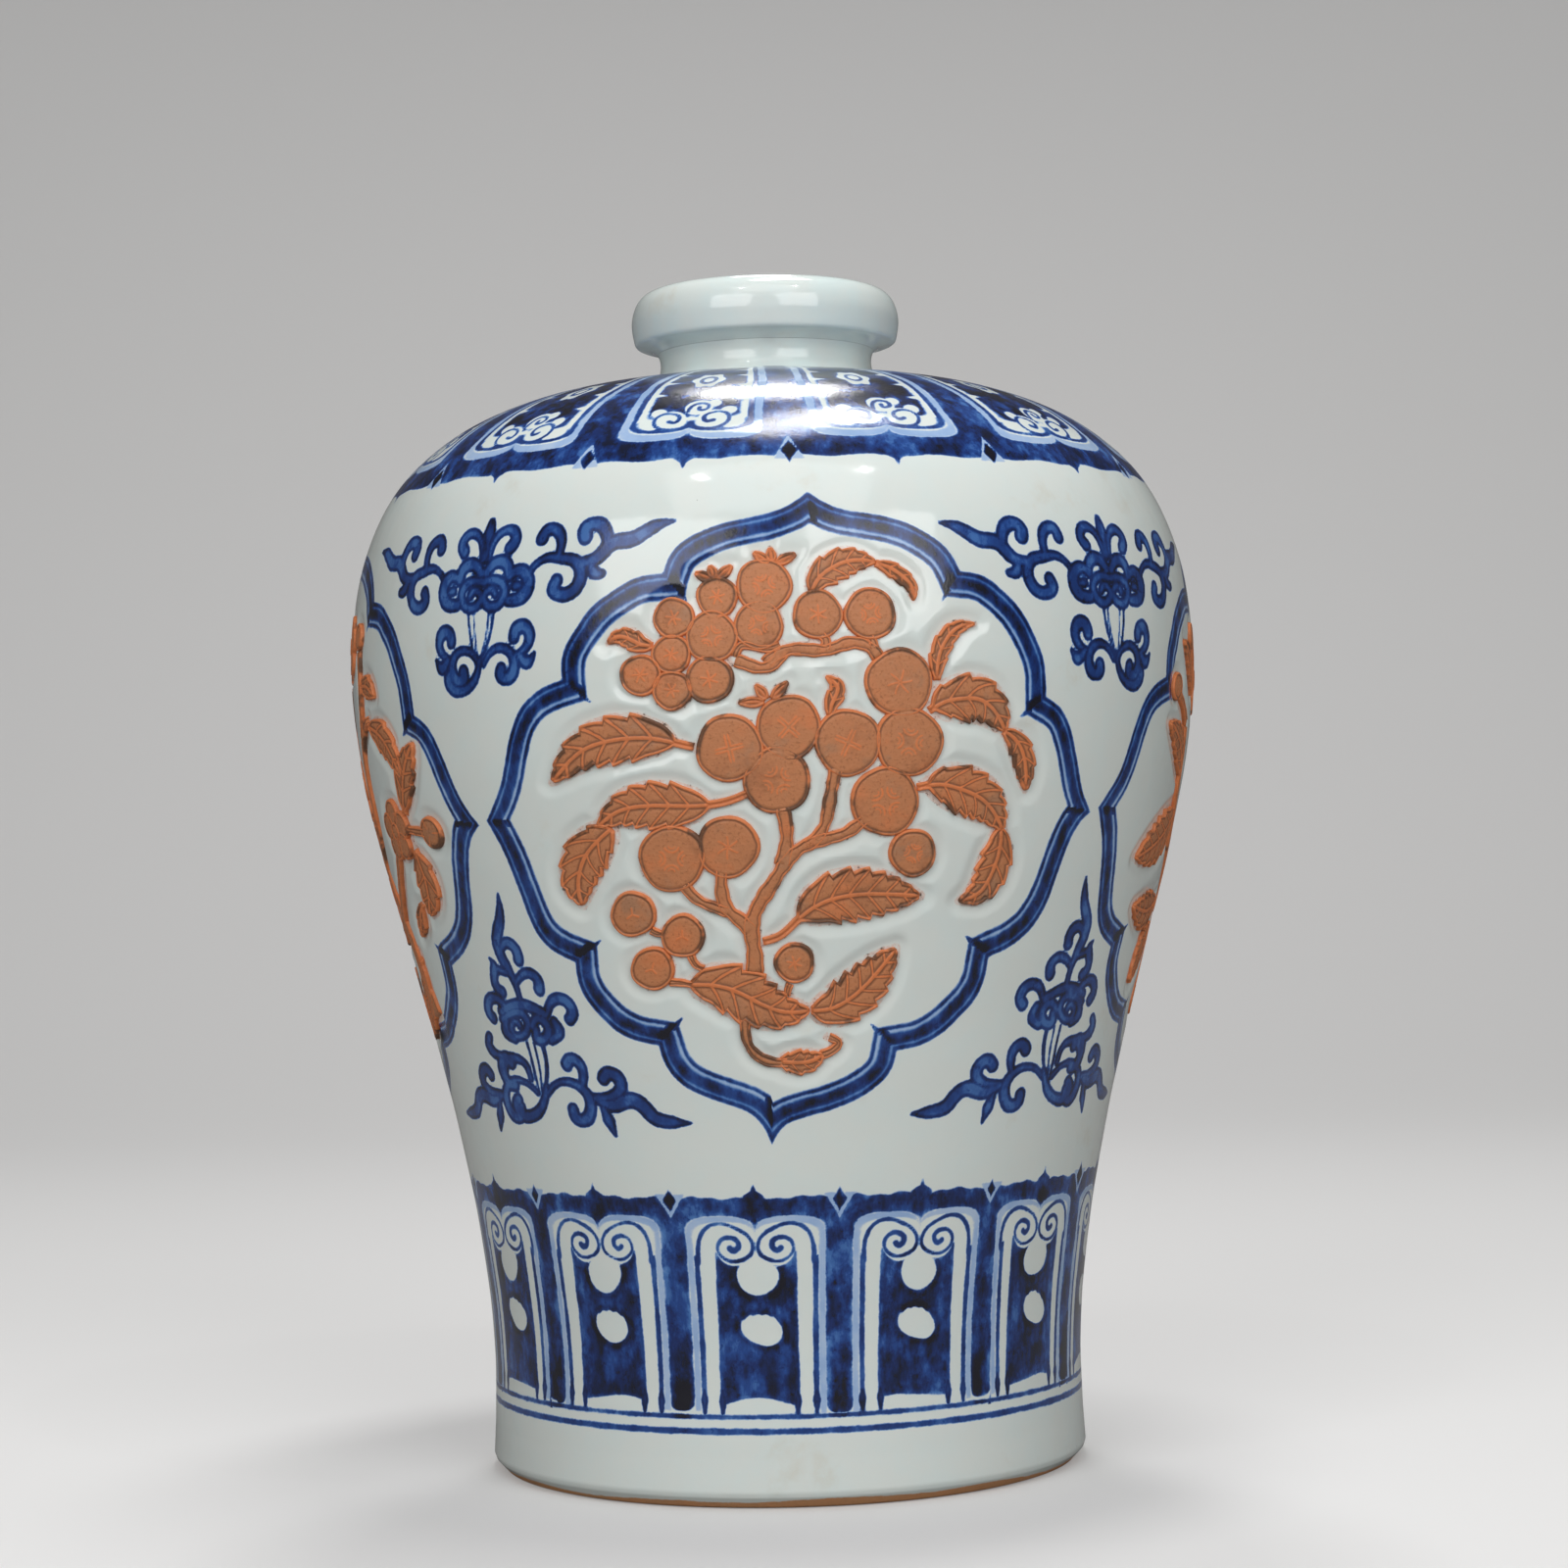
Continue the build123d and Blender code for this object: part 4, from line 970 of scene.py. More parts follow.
FRUIT_BRANCHES = [
    (2.5, 1.7, [(-13.3, -47.3), (-13.3, -40.3), (-14.0, -32.0), (-11.5, -25.5), (-7.5, -19.5),
                (-3.5, -13.5), (0.5, -9.4), (5.0, -7.2), (10.0, -6.0), (14.3, -4.9), (22.0, 0.5)]),
    (2.2, 2.0, [(-4.8, -14.5), (-3.4, -9.5), (-2.9, -4.5), (-4.4, 4.5)]),
    (1.8, 2.0, [(3.0, -8.6), (8.0, -3.4), (10.1, 3.7), (12.5, 16.0)]),
    (2.2, 1.8, [(-13.6, -34.5), (-17.5, -30.5), (-21.3, -27.0), (-22.9, -22.8), (-22.8, -14.0)]),
    (1.6, 1.6, [(-20.4, -28.2), (-26.8, -25.8), (-30.8, -23.7), (-35.0, -18.5)]),
    (1.9, 1.9, [(-18.1, 48.7), (-14.9, 47.6), (-10.2, 46.1), (-6.0, 47.4), (-3.3, 50.5),
                (3.0, 51.7)]),
    (1.9, 1.9, [(-8.9, 47.1), (-5.5, 49.8), (2.5, 51.4), (10.5, 51.2), (16.8, 53.1), (22.0, 52.5),
                (24.8, 50.5), (26.2, 48.2)]),
    (1.5, 1.5, [(9.3, 51.3), (10.0, 53.5), (8.3, 55.8)]),
    (1.4, 1.4, [(24.8, 51.1), (24.3, 53.4), (23.2, 55.1)]),
    (1.2, 1.2, [(-18.1, 49.2), (-15.9, 52.9), (-11.1, 52.2), (-5.9, 52.1), (-3.7, 53.1)]),
    (1.1, 1.1, [(-45.1, -32.9), (-43.0, -34.0), (-40.8, -34.3)]),
    (1.1, 1.1, [(-32.9, -40.7), (-31.3, -44.0), (-28.7, -45.4)]),
    (1.1, 1.1, [(-40.0, -49.3), (-36.3, -49.5), (-32.0, -50.3)]),
    (1.1, 1.1, [(-2.3, -50.4), (-3.0, -52.1), (-3.3, -54.5)]),
    (1.5, 1.5, [(-16.2, -60.6), (-16.3, -66.2), (-13.6, -71.9), (-8.1, -74.8), (-2.5, -74.9)]),
    (1.3, 1.3, [(6.6, -73.0), (10.8, -71.4), (12.6, -69.3), (9.4, -67.4)]),
]
CROWNS = [
    [(-23.3, 73.1), (-29.6, 75.7), (-24.8, 78.0), (-17.9, 77.7)],
    [(-5.8, 77.4), (-11.7, 81.6), (-6.4, 83.0), (1.7, 80.8)],
    [(-7.8, 35.8), (-17.3, 35.7), (-11.9, 41.2), (-1.8, 41.9)],
]
BLOSSOMS = [
    (0.53, 0.00, 0.11), (-0.17, 0.46, 0.14), (0.17, 0.63, 0.11), (-0.08, -0.22, 0.13),
    (0.02, 0.14, 0.12),
]
BUDS = [
    (0.78, -0.01, 0.055), (0.37, 0.65, 0.05), (-0.36, 0.60, 0.05), (-0.62, 0.42, 0.05),
    (-0.20, -0.62, 0.055),
]
BLOSSOM_LEAVES = [
    (0.45, 0.35, 0.69, 0.17, 0.12, 0.05), (0.64, 0.05, 0.80, 0.28, 0.12, 0.02),
    (0.64, -0.06, 0.60, -0.28, 0.14, 0.03), (0.55, -0.24, 0.46, -0.35, 0.07, 0.0),
    (0.35, -0.42, 0.16, -0.70, 0.13, 0.02), (0.40, 0.48, 0.56, 0.44, 0.09, 0.02),
    (-0.40, 0.12, -0.66, 0.30, 0.12, -0.03), (-0.36, 0.02, -0.72, -0.14, 0.18, 0.02),
    (-0.30, -0.28, -0.62, -0.30, 0.14, 0.03), (-0.28, -0.36, -0.44, -0.56, 0.13, -0.02),
    (0.00, 0.70, -0.16, 0.82, 0.10, -0.02), (-0.36, 0.40, -0.52, 0.58, 0.09, -0.02),
    (0.10, -0.46, -0.06, -0.74, 0.12, -0.02),
]
BLOSSOM_BRANCHES = [
    (0.090, 0.036, [(0.34, -0.62), (0.25, -0.32), (0.12, -0.05), (0.00, 0.28), (0.06, 0.50)]),
    (0.052, 0.034, [(0.24, -0.30), (0.02, -0.36), (-0.22, -0.20), (-0.38, 0.02), (-0.44, 0.30)]),
    (0.044, 0.034, [(0.17, -0.14), (0.27, 0.10), (0.33, 0.30), (0.45, 0.37)]),
    (0.036, 0.032, [(0.25, -0.30), (0.40, -0.16), (0.50, -0.05)]),
    (0.032, 0.028, [(0.56, 0.01), (0.66, 0.00), (0.75, -0.01)]),
    (0.036, 0.032, [(0.33, 0.30), (0.38, 0.46), (0.38, 0.61)]),
    (0.036, 0.032, [(0.00, 0.28), (-0.09, 0.38), (-0.15, 0.44)]),
    (0.032, 0.028, [(0.06, 0.50), (0.03, 0.62), (-0.02, 0.72)]),
    (0.032, 0.028, [(-0.17, 0.46), (-0.28, 0.50), (-0.35, 0.57)]),
    (0.032, 0.028, [(-0.44, 0.30), (-0.52, 0.36), (-0.60, 0.40)]),
    (0.032, 0.028, [(-0.10, -0.32), (-0.16, -0.46), (-0.19, -0.58)]),
]
CARVED_DEPTH = 0.85
CARVED_WIDTH = 4.4
CARVED_REACH_TURN, CARVED_REACH_ACROSS, CARVED_REACH_UP = 60.0, 92.0, 96.0
BENT_TOOTH, BENT_STALK = 6.5, 0.06
# The arcs over which the wall's waver grows above the waist and dies away at the neck
WAVER_LOW, WAVER_HIGH = 40.0, (434.0, 424.0)


def bent_leaf(leaf):
    """A blossom panel's leaf in mm: its midrib's middle is pushed sideways by the bend."""
    base, tip = np.array(leaf[:2]) * PANEL_SCALE, np.array(leaf[2:4]) * PANEL_SCALE
    way = tip - base
    length = np.linalg.norm(way)
    side = np.array([-way[1], way[0]]) / length
    middle = (base + tip) / 2 + side * leaf[5] * PANEL_HALF_WIDTH
    half = leaf[4] * PANEL_HALF_WIDTH / 2
    return [base, middle, tip], half, max(3, round(length / BENT_TOOTH)), BENT_STALK


def crown_tips(crown):
    """The three small leaves of a fruit's calyx, each as a leaf from the crown's base."""
    base = np.array(crown[0])
    tips = []
    for tip in crown[1:]:
        way = np.array(tip) - base
        tips.append(([base + way * 0.12, base + way * 0.55, np.array(tip)], 1.75, 1, 0.0))
    return tips


def leaf_profile(along, petiole):
    """A leaf's half width as a share of its widest, at shares of its length from the base."""
    share = np.clip((along - petiole) / (1 - petiole), 0.0, 1.0)
    return np.sin(np.pi * share ** 0.85) ** 0.70


def spray_depth(x, y, rounds, leaves, branches):
    """How deep each place of a panel lies inside any of its sprigs, in mm; negative outside."""
    depth = np.full(x.shape, -SHORE_FAR)
    for centre_x, centre_y, share in rounds:
        centre = np.array([centre_x, centre_y]) * PANEL_SCALE
        depth = most(depth, disc_depth(x, y, centre, share * PANEL_HALF_WIDTH))
    for points, half, _, petiole in leaves:
        widths = half * np.maximum(leaf_profile(np.linspace(0, 1, 9), petiole), 0.14)
        depth = most(depth, stroke_depth(x, y, points, widths, SHORE_FAR))
    for first, last, points in branches:
        depth = most(depth, stroke_depth(x, y, points, (first, last), SHORE_FAR))
    return depth


CROWN_LEAVES = [tip for crown in CROWNS for tip in crown_tips(crown)]
SIDE_LEAVES = [bent_leaf(leaf) for leaf in BLOSSOM_LEAVES]
SIDE_BRANCHES = [(first * PANEL_HALF_WIDTH / 2, last * PANEL_HALF_WIDTH / 2,
                  np.array(points) * PANEL_SCALE) for first, last, points in BLOSSOM_BRANCHES]
SPRAYS = [(FRUITS, FRUIT_LEAVES + CROWN_LEAVES, FRUIT_BRANCHES),
          (BLOSSOMS + BUDS, SIDE_LEAVES, SIDE_BRANCHES)]


def carving(azimuth, radius, height):
    """How far the ground is cut back round each panel's sprigs, and how near they are, in mm."""
    cut = np.zeros(azimuth.shape)
    shore = np.full(azimuth.shape, -SHORE_FAR)
    for panel in range(4):
        angle = turned(azimuth, PANEL_AZIMUTH + 90.0 * panel)
        x = radius * np.sin(np.radians(angle))
        y = height - PANEL_HEIGHT
        near = ((np.abs(angle) < CARVED_REACH_TURN) & (np.abs(x) < CARVED_REACH_ACROSS)
                & (np.abs(y) < CARVED_REACH_UP))
        if near.any():
            shore[near] = spray_depth(x[near], y[near], *SPRAYS[panel % 2])
            cut[near] = CARVED_DEPTH * smooth_share(shore[near], -CARVED_WIDTH, -0.4)
    return cut, np.clip(shore, -SHORE_FAR, 1.0)


def thrown_waver(azimuth, arc):
    """The slight unevenness of a hand-thrown wall, always inwards: a few slow waves."""
    angle = np.radians(azimuth)
    wave = (np.sin(2 * angle + 0.4) + 0.6 * np.sin(3 * angle - arc * 0.021)
            + 0.5 * np.sin(arc * 0.19) + 0.35 * np.sin(5 * angle + arc * 0.05))
    return 0.09 * (wave - 2.45)


def wall_ring(name, low_arc, high_arc, node, columns=WALL_COLUMNS, rows=WALL_ROWS):
    """One ring of the wall: a painted outer face, two flat rims and a plain inner face."""
    azimuths = np.arange(columns) * 360.0 / columns
    azimuth, arc = np.meshgrid(azimuths, np.linspace(low_arc, high_arc, rows))
    radius, height, normal_r, normal_z = wall_at(arc)
    marks = painted_wall(azimuth, arc, radius, height)
    waver = thrown_waver(azimuth, arc) * smooth_share(arc, WAIST_ARC, WAVER_LOW)
    waver = waver * smooth_share(arc, *WAVER_HIGH)
    cut, marks["shore"] = carving(azimuth, radius, height)
    inset = waver - cut
    inner_arc = np.linspace(high_arc, low_arc, INSIDE_ROWS)
    in_r, in_z, in_nr, in_nz = wall_at(inner_arc)
    in_r, in_z = in_r - in_nr * WALL_THICKNESS, in_z - in_nz * WALL_THICKNESS
    radii = np.concatenate([radius + normal_r * inset, np.repeat(in_r[:, None], columns, 1)])
    heights = np.concatenate([height + normal_z * inset, np.repeat(in_z[:, None], columns, 1)])
    inside = unpainted((INSIDE_ROWS, columns))
    marks = {mark: np.concatenate([values, inside[mark]]) for mark, values in marks.items()}
    ring = revolved_mesh(name, radii, heights, azimuths, True, marks)
    placed(ring, wall_glaze, node)


seam_low, seam_high = float(arc_of(LOWER_SEAM)), float(arc_of(UPPER_SEAM))
middle_low = (WAIST_ARC + seam_low) / 2
wall_ring("lower_body_foot_side", WAIST_ARC, middle_low, "lower_body")
wall_ring("lower_body_belly_side", middle_low, seam_low, "lower_body")

# Belly: the middle thrown section of the porcelain wall, luted on the lower one with slip. It
# carries most of the four ogee panels, whose ground was carved back round the sprigs.
middle_belly = (seam_low + seam_high) / 2
wall_ring("belly_lower_half", seam_low, middle_belly, "belly")
wall_ring("belly_upper_half", middle_belly, seam_high, "belly")

# Shoulder: the top thrown section of porcelain, luted on the belly and closed in to the foot of
# the neck. It carries the upper scrolls and the band of hanging lappets.
TURN_ARC = 345.0
wall_ring("shoulder_turn", seam_high, TURN_ARC, "shoulder")
wall_ring("shoulder_crown", TURN_ARC, float(wall_arc[-1]), "shoulder", CROWN_COLUMNS, CROWN_ROWS)

# Neck: a short waisted collar of the same porcelain, luted on the shoulder and glazed inside and
# out. The glaze lies thicker and greener on it.
BORE_RADIUS = 28.0
NECK_COLUMNS = 360
neck_glaze = glaze_material("pooled_celadon_glaze", 0.20, 0.70)
neck_outside = smooth_through(
    [(38.0, 369.0), (36.6, 372.2), (36.3, 374.6), (36.6, 377.0), (37.2, 378.5)], 22)
neck_top_and_bore = profile_through(
    (36.9, 378.8, 4), (BORE_RADIUS, 378.8, 10), (BORE_RADIUS, 362.4, 2),
    (32.4, 362.4, 3), (32.4, 369.0, 2), (38.0, 369.0, 0))
turned_piece("neck_dressed", np.concatenate([neck_outside, neck_top_and_bore[1:]]),
             NECK_COLUMNS, True, neck_glaze, "neck")

# Mouth rim: the rolled lip, a heavy round roll with a cove under it, folded out of the neck on the
# wheel. It is of the same porcelain and has the same glaze.
LIP_LOW, LIP_HIGH, LIP_DIP = 380.0, 400.0, 0.35
lip_outside = smooth_through([
    (37.2, 378.6), (38.6, 379.9), (41.0, 380.9), (43.2, 381.3), (44.6, 381.7), (45.2, 383.0),
    (45.7, 385.6), (46.0, 388.6), (45.5, 392.4), (43.9, 396.2), (41.0, 398.9), (37.4, 399.9),
    (34.4, 399.6), (31.4, 398.0), (29.2, 395.4), (28.1, 391.6),
], 84)
lip_bore = profile_through((BORE_RADIUS, 391.0, 8), (BORE_RADIUS, 378.6, 3), (37.2, 378.6, 0))


def dip_lip(radii, heights, angle, marks):
    """The lip's top dips a little on one side, as a hand-turned one does."""
    share = smooth_share(heights, LIP_LOW, LIP_HIGH)
    return heights - share * LIP_DIP * (1 - np.cos(angle + 1.2)) / 2


turned_piece("mouth_rim_dressed", np.concatenate([lip_outside, lip_bore]),
             NECK_COLUMNS, True, neck_glaze, "mouth_rim", dip_lip)

# Fruit sprays: press-moulded sprigs of iron-rich clay, laid on the carved ground of the front and
# back panels and left bare. Round fruits with a raised star or arcs, toothed leaves, the small
# leaves of the fruits' calyxes, and the branches.
SKIRT, SUNK = -1.3, -0.7
BEAD, BEAD_GROOVE = 0.42, 1.10
VEIN_SPACING, VEIN_SLANT = 6.0, 0.9
LEAF_ROW, LEAF_ROWS, CALYX_ROWS, BRANCH_COLUMNS = 0.62, (24, 84), 18, 17
CALYX_LIFT, LEAF_LIFT, BRANCH_LIFT = -0.02, -0.04, -0.06
LINE_HALF = 0.34
# Rays on a fruit: their directions, how much they bow, where they are full, and, from the reach of
# the fruit's drawing, where they are gone and where they begin to fade
RAYS = {"s": ((8, 66, 118, 182, 240, 305), 0.05, 0.3, 0.6, -0.2),
        "y": ((90, 215, 330), 0.0, 0.2, 0.0, -0.6)}
# Columns of a leaf in from its edge and out from its midrib: in mm, and at most in shares of width
EDGE_COLUMNS = np.array([[0.0, 0.25, 0.5, 0.8, 1.1, 1.4, 1.8],
                         [0.0, 0.05, 0.10, 0.16, 0.23, 0.32, 0.42]])
RIB_COLUMNS = np.array([[1.5, 0.95, 0.5], [0.32, 0.2, 0.1]])


def clay_material(name):
    """Bare clay of the sprigs: brown faces. The raised outlines, veins and fruit lines are brighter
    orange, partly the clay's fired colour and partly painted highlight, and the grooves beside them
    are painted shade.

    The sprigs carry the distance from their outline, from a leaf's midrib and from its veins.
    """
    recipe = Recipe(name)
    plus, times, step, mix = recipe.plus, recipe.times, recipe.step, recipe.mix
    wobble = recipe.wander(380.0, 0.55)
    edge = plus(recipe.mark("edge"), wobble)
    rib = plus(recipe.sum("ABSOLUTE", recipe.mark("rib")), times(wobble, 0.5))
    phase = recipe.sum("FRACT", plus(recipe.mark("vein"), 0.5))
    vein = times(recipe.sum("ABSOLUTE", recipe.sum("SUBTRACT", phase, 0.5)), VEIN_SPACING)
    vein = plus(vein, wobble)
    tone, grain = clay_colour(recipe)
    cloud = recipe.noise(95.0, 4.0, 0.65)
    tone = mix(step(cloud, 0.52, 0.70, 0.0, 0.30), tone, CLAY_DARK)
    off_ridges = recipe.sum("MINIMUM", step(rib, 0.4, 0.7), step(vein, 0.28, 0.55))
    # Painted shade: the grooves beside the midrib, the veins and the outline's bead are painted
    # darker.
    groove_shade = recipe.most(step(rib, 1.6, 0.8), step(vein, 1.2, 0.6))
    groove_shade = times(times(groove_shade, off_ridges), step(edge, 0.9, 1.2))
    groove_shade = recipe.most(groove_shade, times(step(edge, 0.66, 0.95), step(edge, 1.62, 1.10)))
    tone = mix(times(groove_shade, 0.72), tone, CLAY_DARK)
    # The raised outline, veins and fruit lines are painted brighter orange: partly the clay's fired
    # colour, partly painted highlight.
    ridge_orange_and_highlight = recipe.most(recipe.sum("SUBTRACT", 1.0, off_ridges), step(edge, 0.84, 0.52),
                        step(recipe.mark("cut"), 0.28, 0.58))
    tone = mix(times(ridge_orange_and_highlight, step(cloud, 0.2, 0.8, 0.95, 0.55)), tone, CLAY_BRIGHT)
    patch = times(step(recipe.noise(60.0, 4.0, 0.65), 0.53, 0.63), step(edge, 2.2, 0.3))
    tone = mix(times(patch, 0.85), tone, CLAY_DIRT)
    normal = recipe.bump(recipe.noise(420.0, 3.0, 0.6, (1.0, 1.0, 2.0)), 0.00022, 0.7)
    normal = recipe.bump(grain, 0.00010, 0.8, normal)
    clay = recipe.add("ShaderNodeBsdfPrincipled", Base_Color=tone, Normal=normal,
                      Roughness=step(grain, 0.3, 0.7, 0.50, 0.75))
    return recipe.finish(clay.outputs[0])


sprig_clay = clay_material("bare_iron_red_clay")
SPRIG_MARKS = {"edge": 5.0, "rib": 99.0, "vein": 0.5, "cut": 0.0}


def groove(value, middle, half):
    """A round-bottomed groove: 1 in the middle of it and 0 at its edges."""
    return np.exp(-((value - middle) / half) ** 2)


def beaded(depth):
    """Height of a sprig's margin by the distance in from its outline: a bead and a groove."""
    return 0.13 * groove(depth, BEAD, 0.42) - 0.26 * groove(depth, BEAD_GROOVE, 0.36)


def disc_sprig(centre, radius, lift, top, rings=30, segments=56):
    """One round sprig: rings out from its middle; top gives height, cut and shape by share, angle.

    The last rings fall over a rounded edge to the skirt that is sunk in the ground.
    """
    share = np.concatenate([np.linspace(0.0, 0.985, rings - 3), [1.0, 1.012, 1.016]])[:, None]
    angle = (np.arange(segments) * 2 * np.pi / segments)[None, :]
    height, cut, out = top(np.minimum(share, 1.0), angle)
    depth = radius * (1 - share) + 0 * angle
    fall = smooth_share(share, 0.97, 1.012)
    height = (height + beaded(depth) + lift) * (1 - fall) + SUNK * fall
    height[-1] = SKIRT
    x = centre[0] + radius * share * out * np.cos(angle)
    y = centre[1] + radius * share * out * np.sin(angle)
    return x, y, height, {"edge": depth, "cut": cut + 0 * angle}


def fruit_top(seed, radius, kind):
    """The face of a fruit: a low dome with fine raised lines that stand for its dried flower.

    s is a star of six rays, a four facing arcs, c a cross of double lines and y a forked line.
    """
    spin = seed * 1.9
    reach = 0.36 * radius

    def top(share, angle):
        x, y = share * radius * np.cos(angle - spin), share * radius * np.sin(angle - spin)
        from_middle = np.hypot(x, y)
        lines = np.zeros_like(x)
        if kind in RAYS:
            turns, bend, full, gone, fades = RAYS[kind]
            for turn in np.radians(turns):
                ahead = x * np.cos(turn) + y * np.sin(turn)
                bow = -x * np.sin(turn) + y * np.cos(turn) - bend * ahead ** 2
                lines = most(lines, groove(bow, 0, LINE_HALF) * smooth_share(ahead, -0.1, full)
                             * smooth_share(ahead, reach + gone, reach + fades))
        elif kind == "a":
            fade = smooth_share(from_middle, reach * 1.35, reach)
            for turn in np.radians((0, 90, 180, 270)):
                bow = np.hypot(x - reach * 1.15 * np.cos(turn), y - reach * 1.15 * np.sin(turn))
                lines = most(lines, groove(bow, reach * 0.62, LINE_HALF) * fade,
                             groove(bow, reach * 0.30, 0.30) * fade * 0.8)
        else:
            for off, along in ((np.abs(x), np.abs(y)), (np.abs(y), np.abs(x))):
                arm = smooth_share(along, reach * 1.4, reach) * smooth_share(along, 0.3, 0.7)
                lines = most(lines, groove(off, 0.55, LINE_HALF) * arm)
        height = 0.14 - 0.10 * share ** 2 + 0.10 * lines
        height = height + 0.03 * np.sin(x * 2.1 + seed) * np.sin(y * 1.7)
        shape = 1.0 + 0.022 * np.sin(3 * angle + seed) + 0.014 * np.sin(5 * angle + seed * 2.3)
        return height, lines, shape
    return top


def along_path(points, rows):
    """A smooth line through some points, and the direction to its left at each of its rows."""
    line = smooth_through(points, rows)
    way = np.gradient(line, axis=0)
    way /= np.linalg.norm(way, axis=1)[:, None]
    return line, np.stack([-way[:, 1], way[:, 0]], axis=-1)


def laid_strip(line, side, spread, height, fall, marks):
    """A strip of clay with columns spread on both sides of its line, and its rim in the ground."""
    height = height * (1 - fall) + SUNK * fall
    height[:, [0, -1]] = SKIRT
    height[[0, -1], :] = SKIRT
    point = line[:, None, :] + side[:, None, :] * spread[..., None]
    return point[..., 0], point[..., 1], height, marks


def leaf_sprig(points, half, teeth, petiole, lift, rows=0):
    """One leaf: rows from base to tip along its midrib, columns across; its edge is cut in teeth.

    The columns crowd at the outline and at the midrib, where the bead and the ribs stand up. The
    side veins run forward from the midrib to the notches between the teeth.
    """
    length = np.linalg.norm(np.diff(smooth_through(points, 200), axis=0), axis=1).sum()
    rows = rows or int(np.clip(length / LEAF_ROW, *LEAF_ROWS))
    line, side = along_path(points, rows)
    along = np.linspace(0.0, 1.0, rows)
    reach = along * length
    gap = length * (1 - petiole) / max(teeth, 1)
    full = half * leaf_profile(along, petiole)
    stalk = min(1.1, half * 0.5)
    phase = (reach - petiole * length - VEIN_SLANT * full) / gap
    tooth = (phase % 1.0) ** 0.8
    toothed = smooth_share(along, petiole + 0.10, petiole + 0.22) * (teeth > 1)
    width = most(full * (0.94 + (0.27 * tooth - 0.17) * toothed),
                 stalk * smooth_share(along, 1.0, 0.9), 0.25)[:, None]
    from_edge = np.minimum(EDGE_COLUMNS[0], EDGE_COLUMNS[1] * width)
    from_rib = np.minimum(RIB_COLUMNS[0], RIB_COLUMNS[1] * width)
    start, end = from_edge[:, -1:], width - from_rib[:, :1]
    middle = start + (end - start) * np.array([0.25, 0.5, 0.75])
    spread = width - np.concatenate([from_edge, middle, width - from_rib, width], axis=1)
    spread = np.concatenate([width + [[0.16, 0.12]], spread, -spread[:, -2::-1],
                             -width - [[0.12, 0.16]]], axis=1)
    off_rib = np.abs(spread)
    depth = least(width - off_rib, np.minimum(reach, length - reach)[:, None] * 1.4)
    vein = (reach[:, None] - petiole * length - VEIN_SLANT * off_rib) / gap
    if teeth < 2:
        vein = 0.5 + 0 * vein
    off_vein = np.abs((vein + 0.5) % 1.0 - 0.5) * VEIN_SPACING
    inner = smooth_share(depth, 0.6, 1.2)
    ribs = most(groove(off_rib, 0, 0.42), groove(off_vein, 0, 0.42))
    furrows = most(groove(off_rib, 0.95, 0.3), groove(off_vein, 0.85, 0.3))
    height = 0.05 + beaded(depth) + inner * (0.10 * ribs - 0.24 * furrows * (1 - ribs)) + lift
    fall = smooth_share(off_rib - width, -0.02, 0.10)
    return laid_strip(line, side, spread, height, fall,
                      {"edge": depth, "rib": spread, "vein": vein})


def branch_sprig(first, last, points, lift):
    """One branch: a flat strip along a smooth line, with a bead and a groove on each side."""
    path = np.array(points)
    rows = max(12, int(np.linalg.norm(np.diff(path, axis=0), axis=1).sum()))
    line, side = along_path(path, rows)
    step = np.arange(rows)
    width = np.linspace(first, last, rows)
    width = width * (1 + 0.09 * np.sin(step * 0.55) + 0.06 * np.sin(step * 1.3))
    flat = np.linspace(-1, 1, BRANCH_COLUMNS - 4)
    across = np.concatenate([[-1.08, -1.05], flat, [1.05, 1.08]])
    spread = across[None, :] * width[:, None]
    depth = (width[:, None] - np.abs(spread)) * 1.35
    fall = smooth_share(np.abs(across)[None, :] + 0 * spread, 0.97, 1.05)
    return laid_strip(line, side, spread, 0.06 + beaded(depth) + lift, fall, {"edge": depth})


def panel_mesh(name, sprigs, turn, node):
    """Lays sprigs on the wall of one panel, pressed straight in from its front.

    Each point keeps its place across and up from the panel's middle, x = r sin a, and stands on
    the wall's radius r at its own height.
    """
    points, faces = [], []
    marks = {mark: [] for mark in SPRIG_MARKS}
    count = 0
    for around, (x, y, height, own_marks) in sprigs:
        radius, level, normal_r, normal_z = wall_at(arc_of(PANEL_HEIGHT + y))
        angle = np.arcsin(np.clip(x / radius, -1, 1)) + np.radians(turn)
        out, up = radius + normal_r * height, level + normal_z * height
        place = np.stack([out * np.sin(angle), -out * np.cos(angle), up], axis=-1)
        points.append(place.reshape(-1, 3))
        quads = grid_faces(*x.shape, around, start=count)
        faces.append(quads if around else quads[:, ::-1])
        for mark, absent in SPRIG_MARKS.items():
            marks[mark].append(np.broadcast_to(own_marks.get(mark, absent), x.shape).reshape(-1))
        count += x.size
    marks = {mark: np.concatenate(values) for mark, values in marks.items()}
    piece = new_piece(name, np.concatenate(points), np.concatenate(faces).tolist(), marks)
    placed(piece, sprig_clay, node)


def lay_spray(side, turn, spray):
    """Lays each kind of a spray's sprigs on one panel, as one piece for each kind."""
    for kind, sprigs in spray.items():
        panel_mesh(f"{kind}_{side}_pressed", sprigs, turn, f"{kind}_{side}")


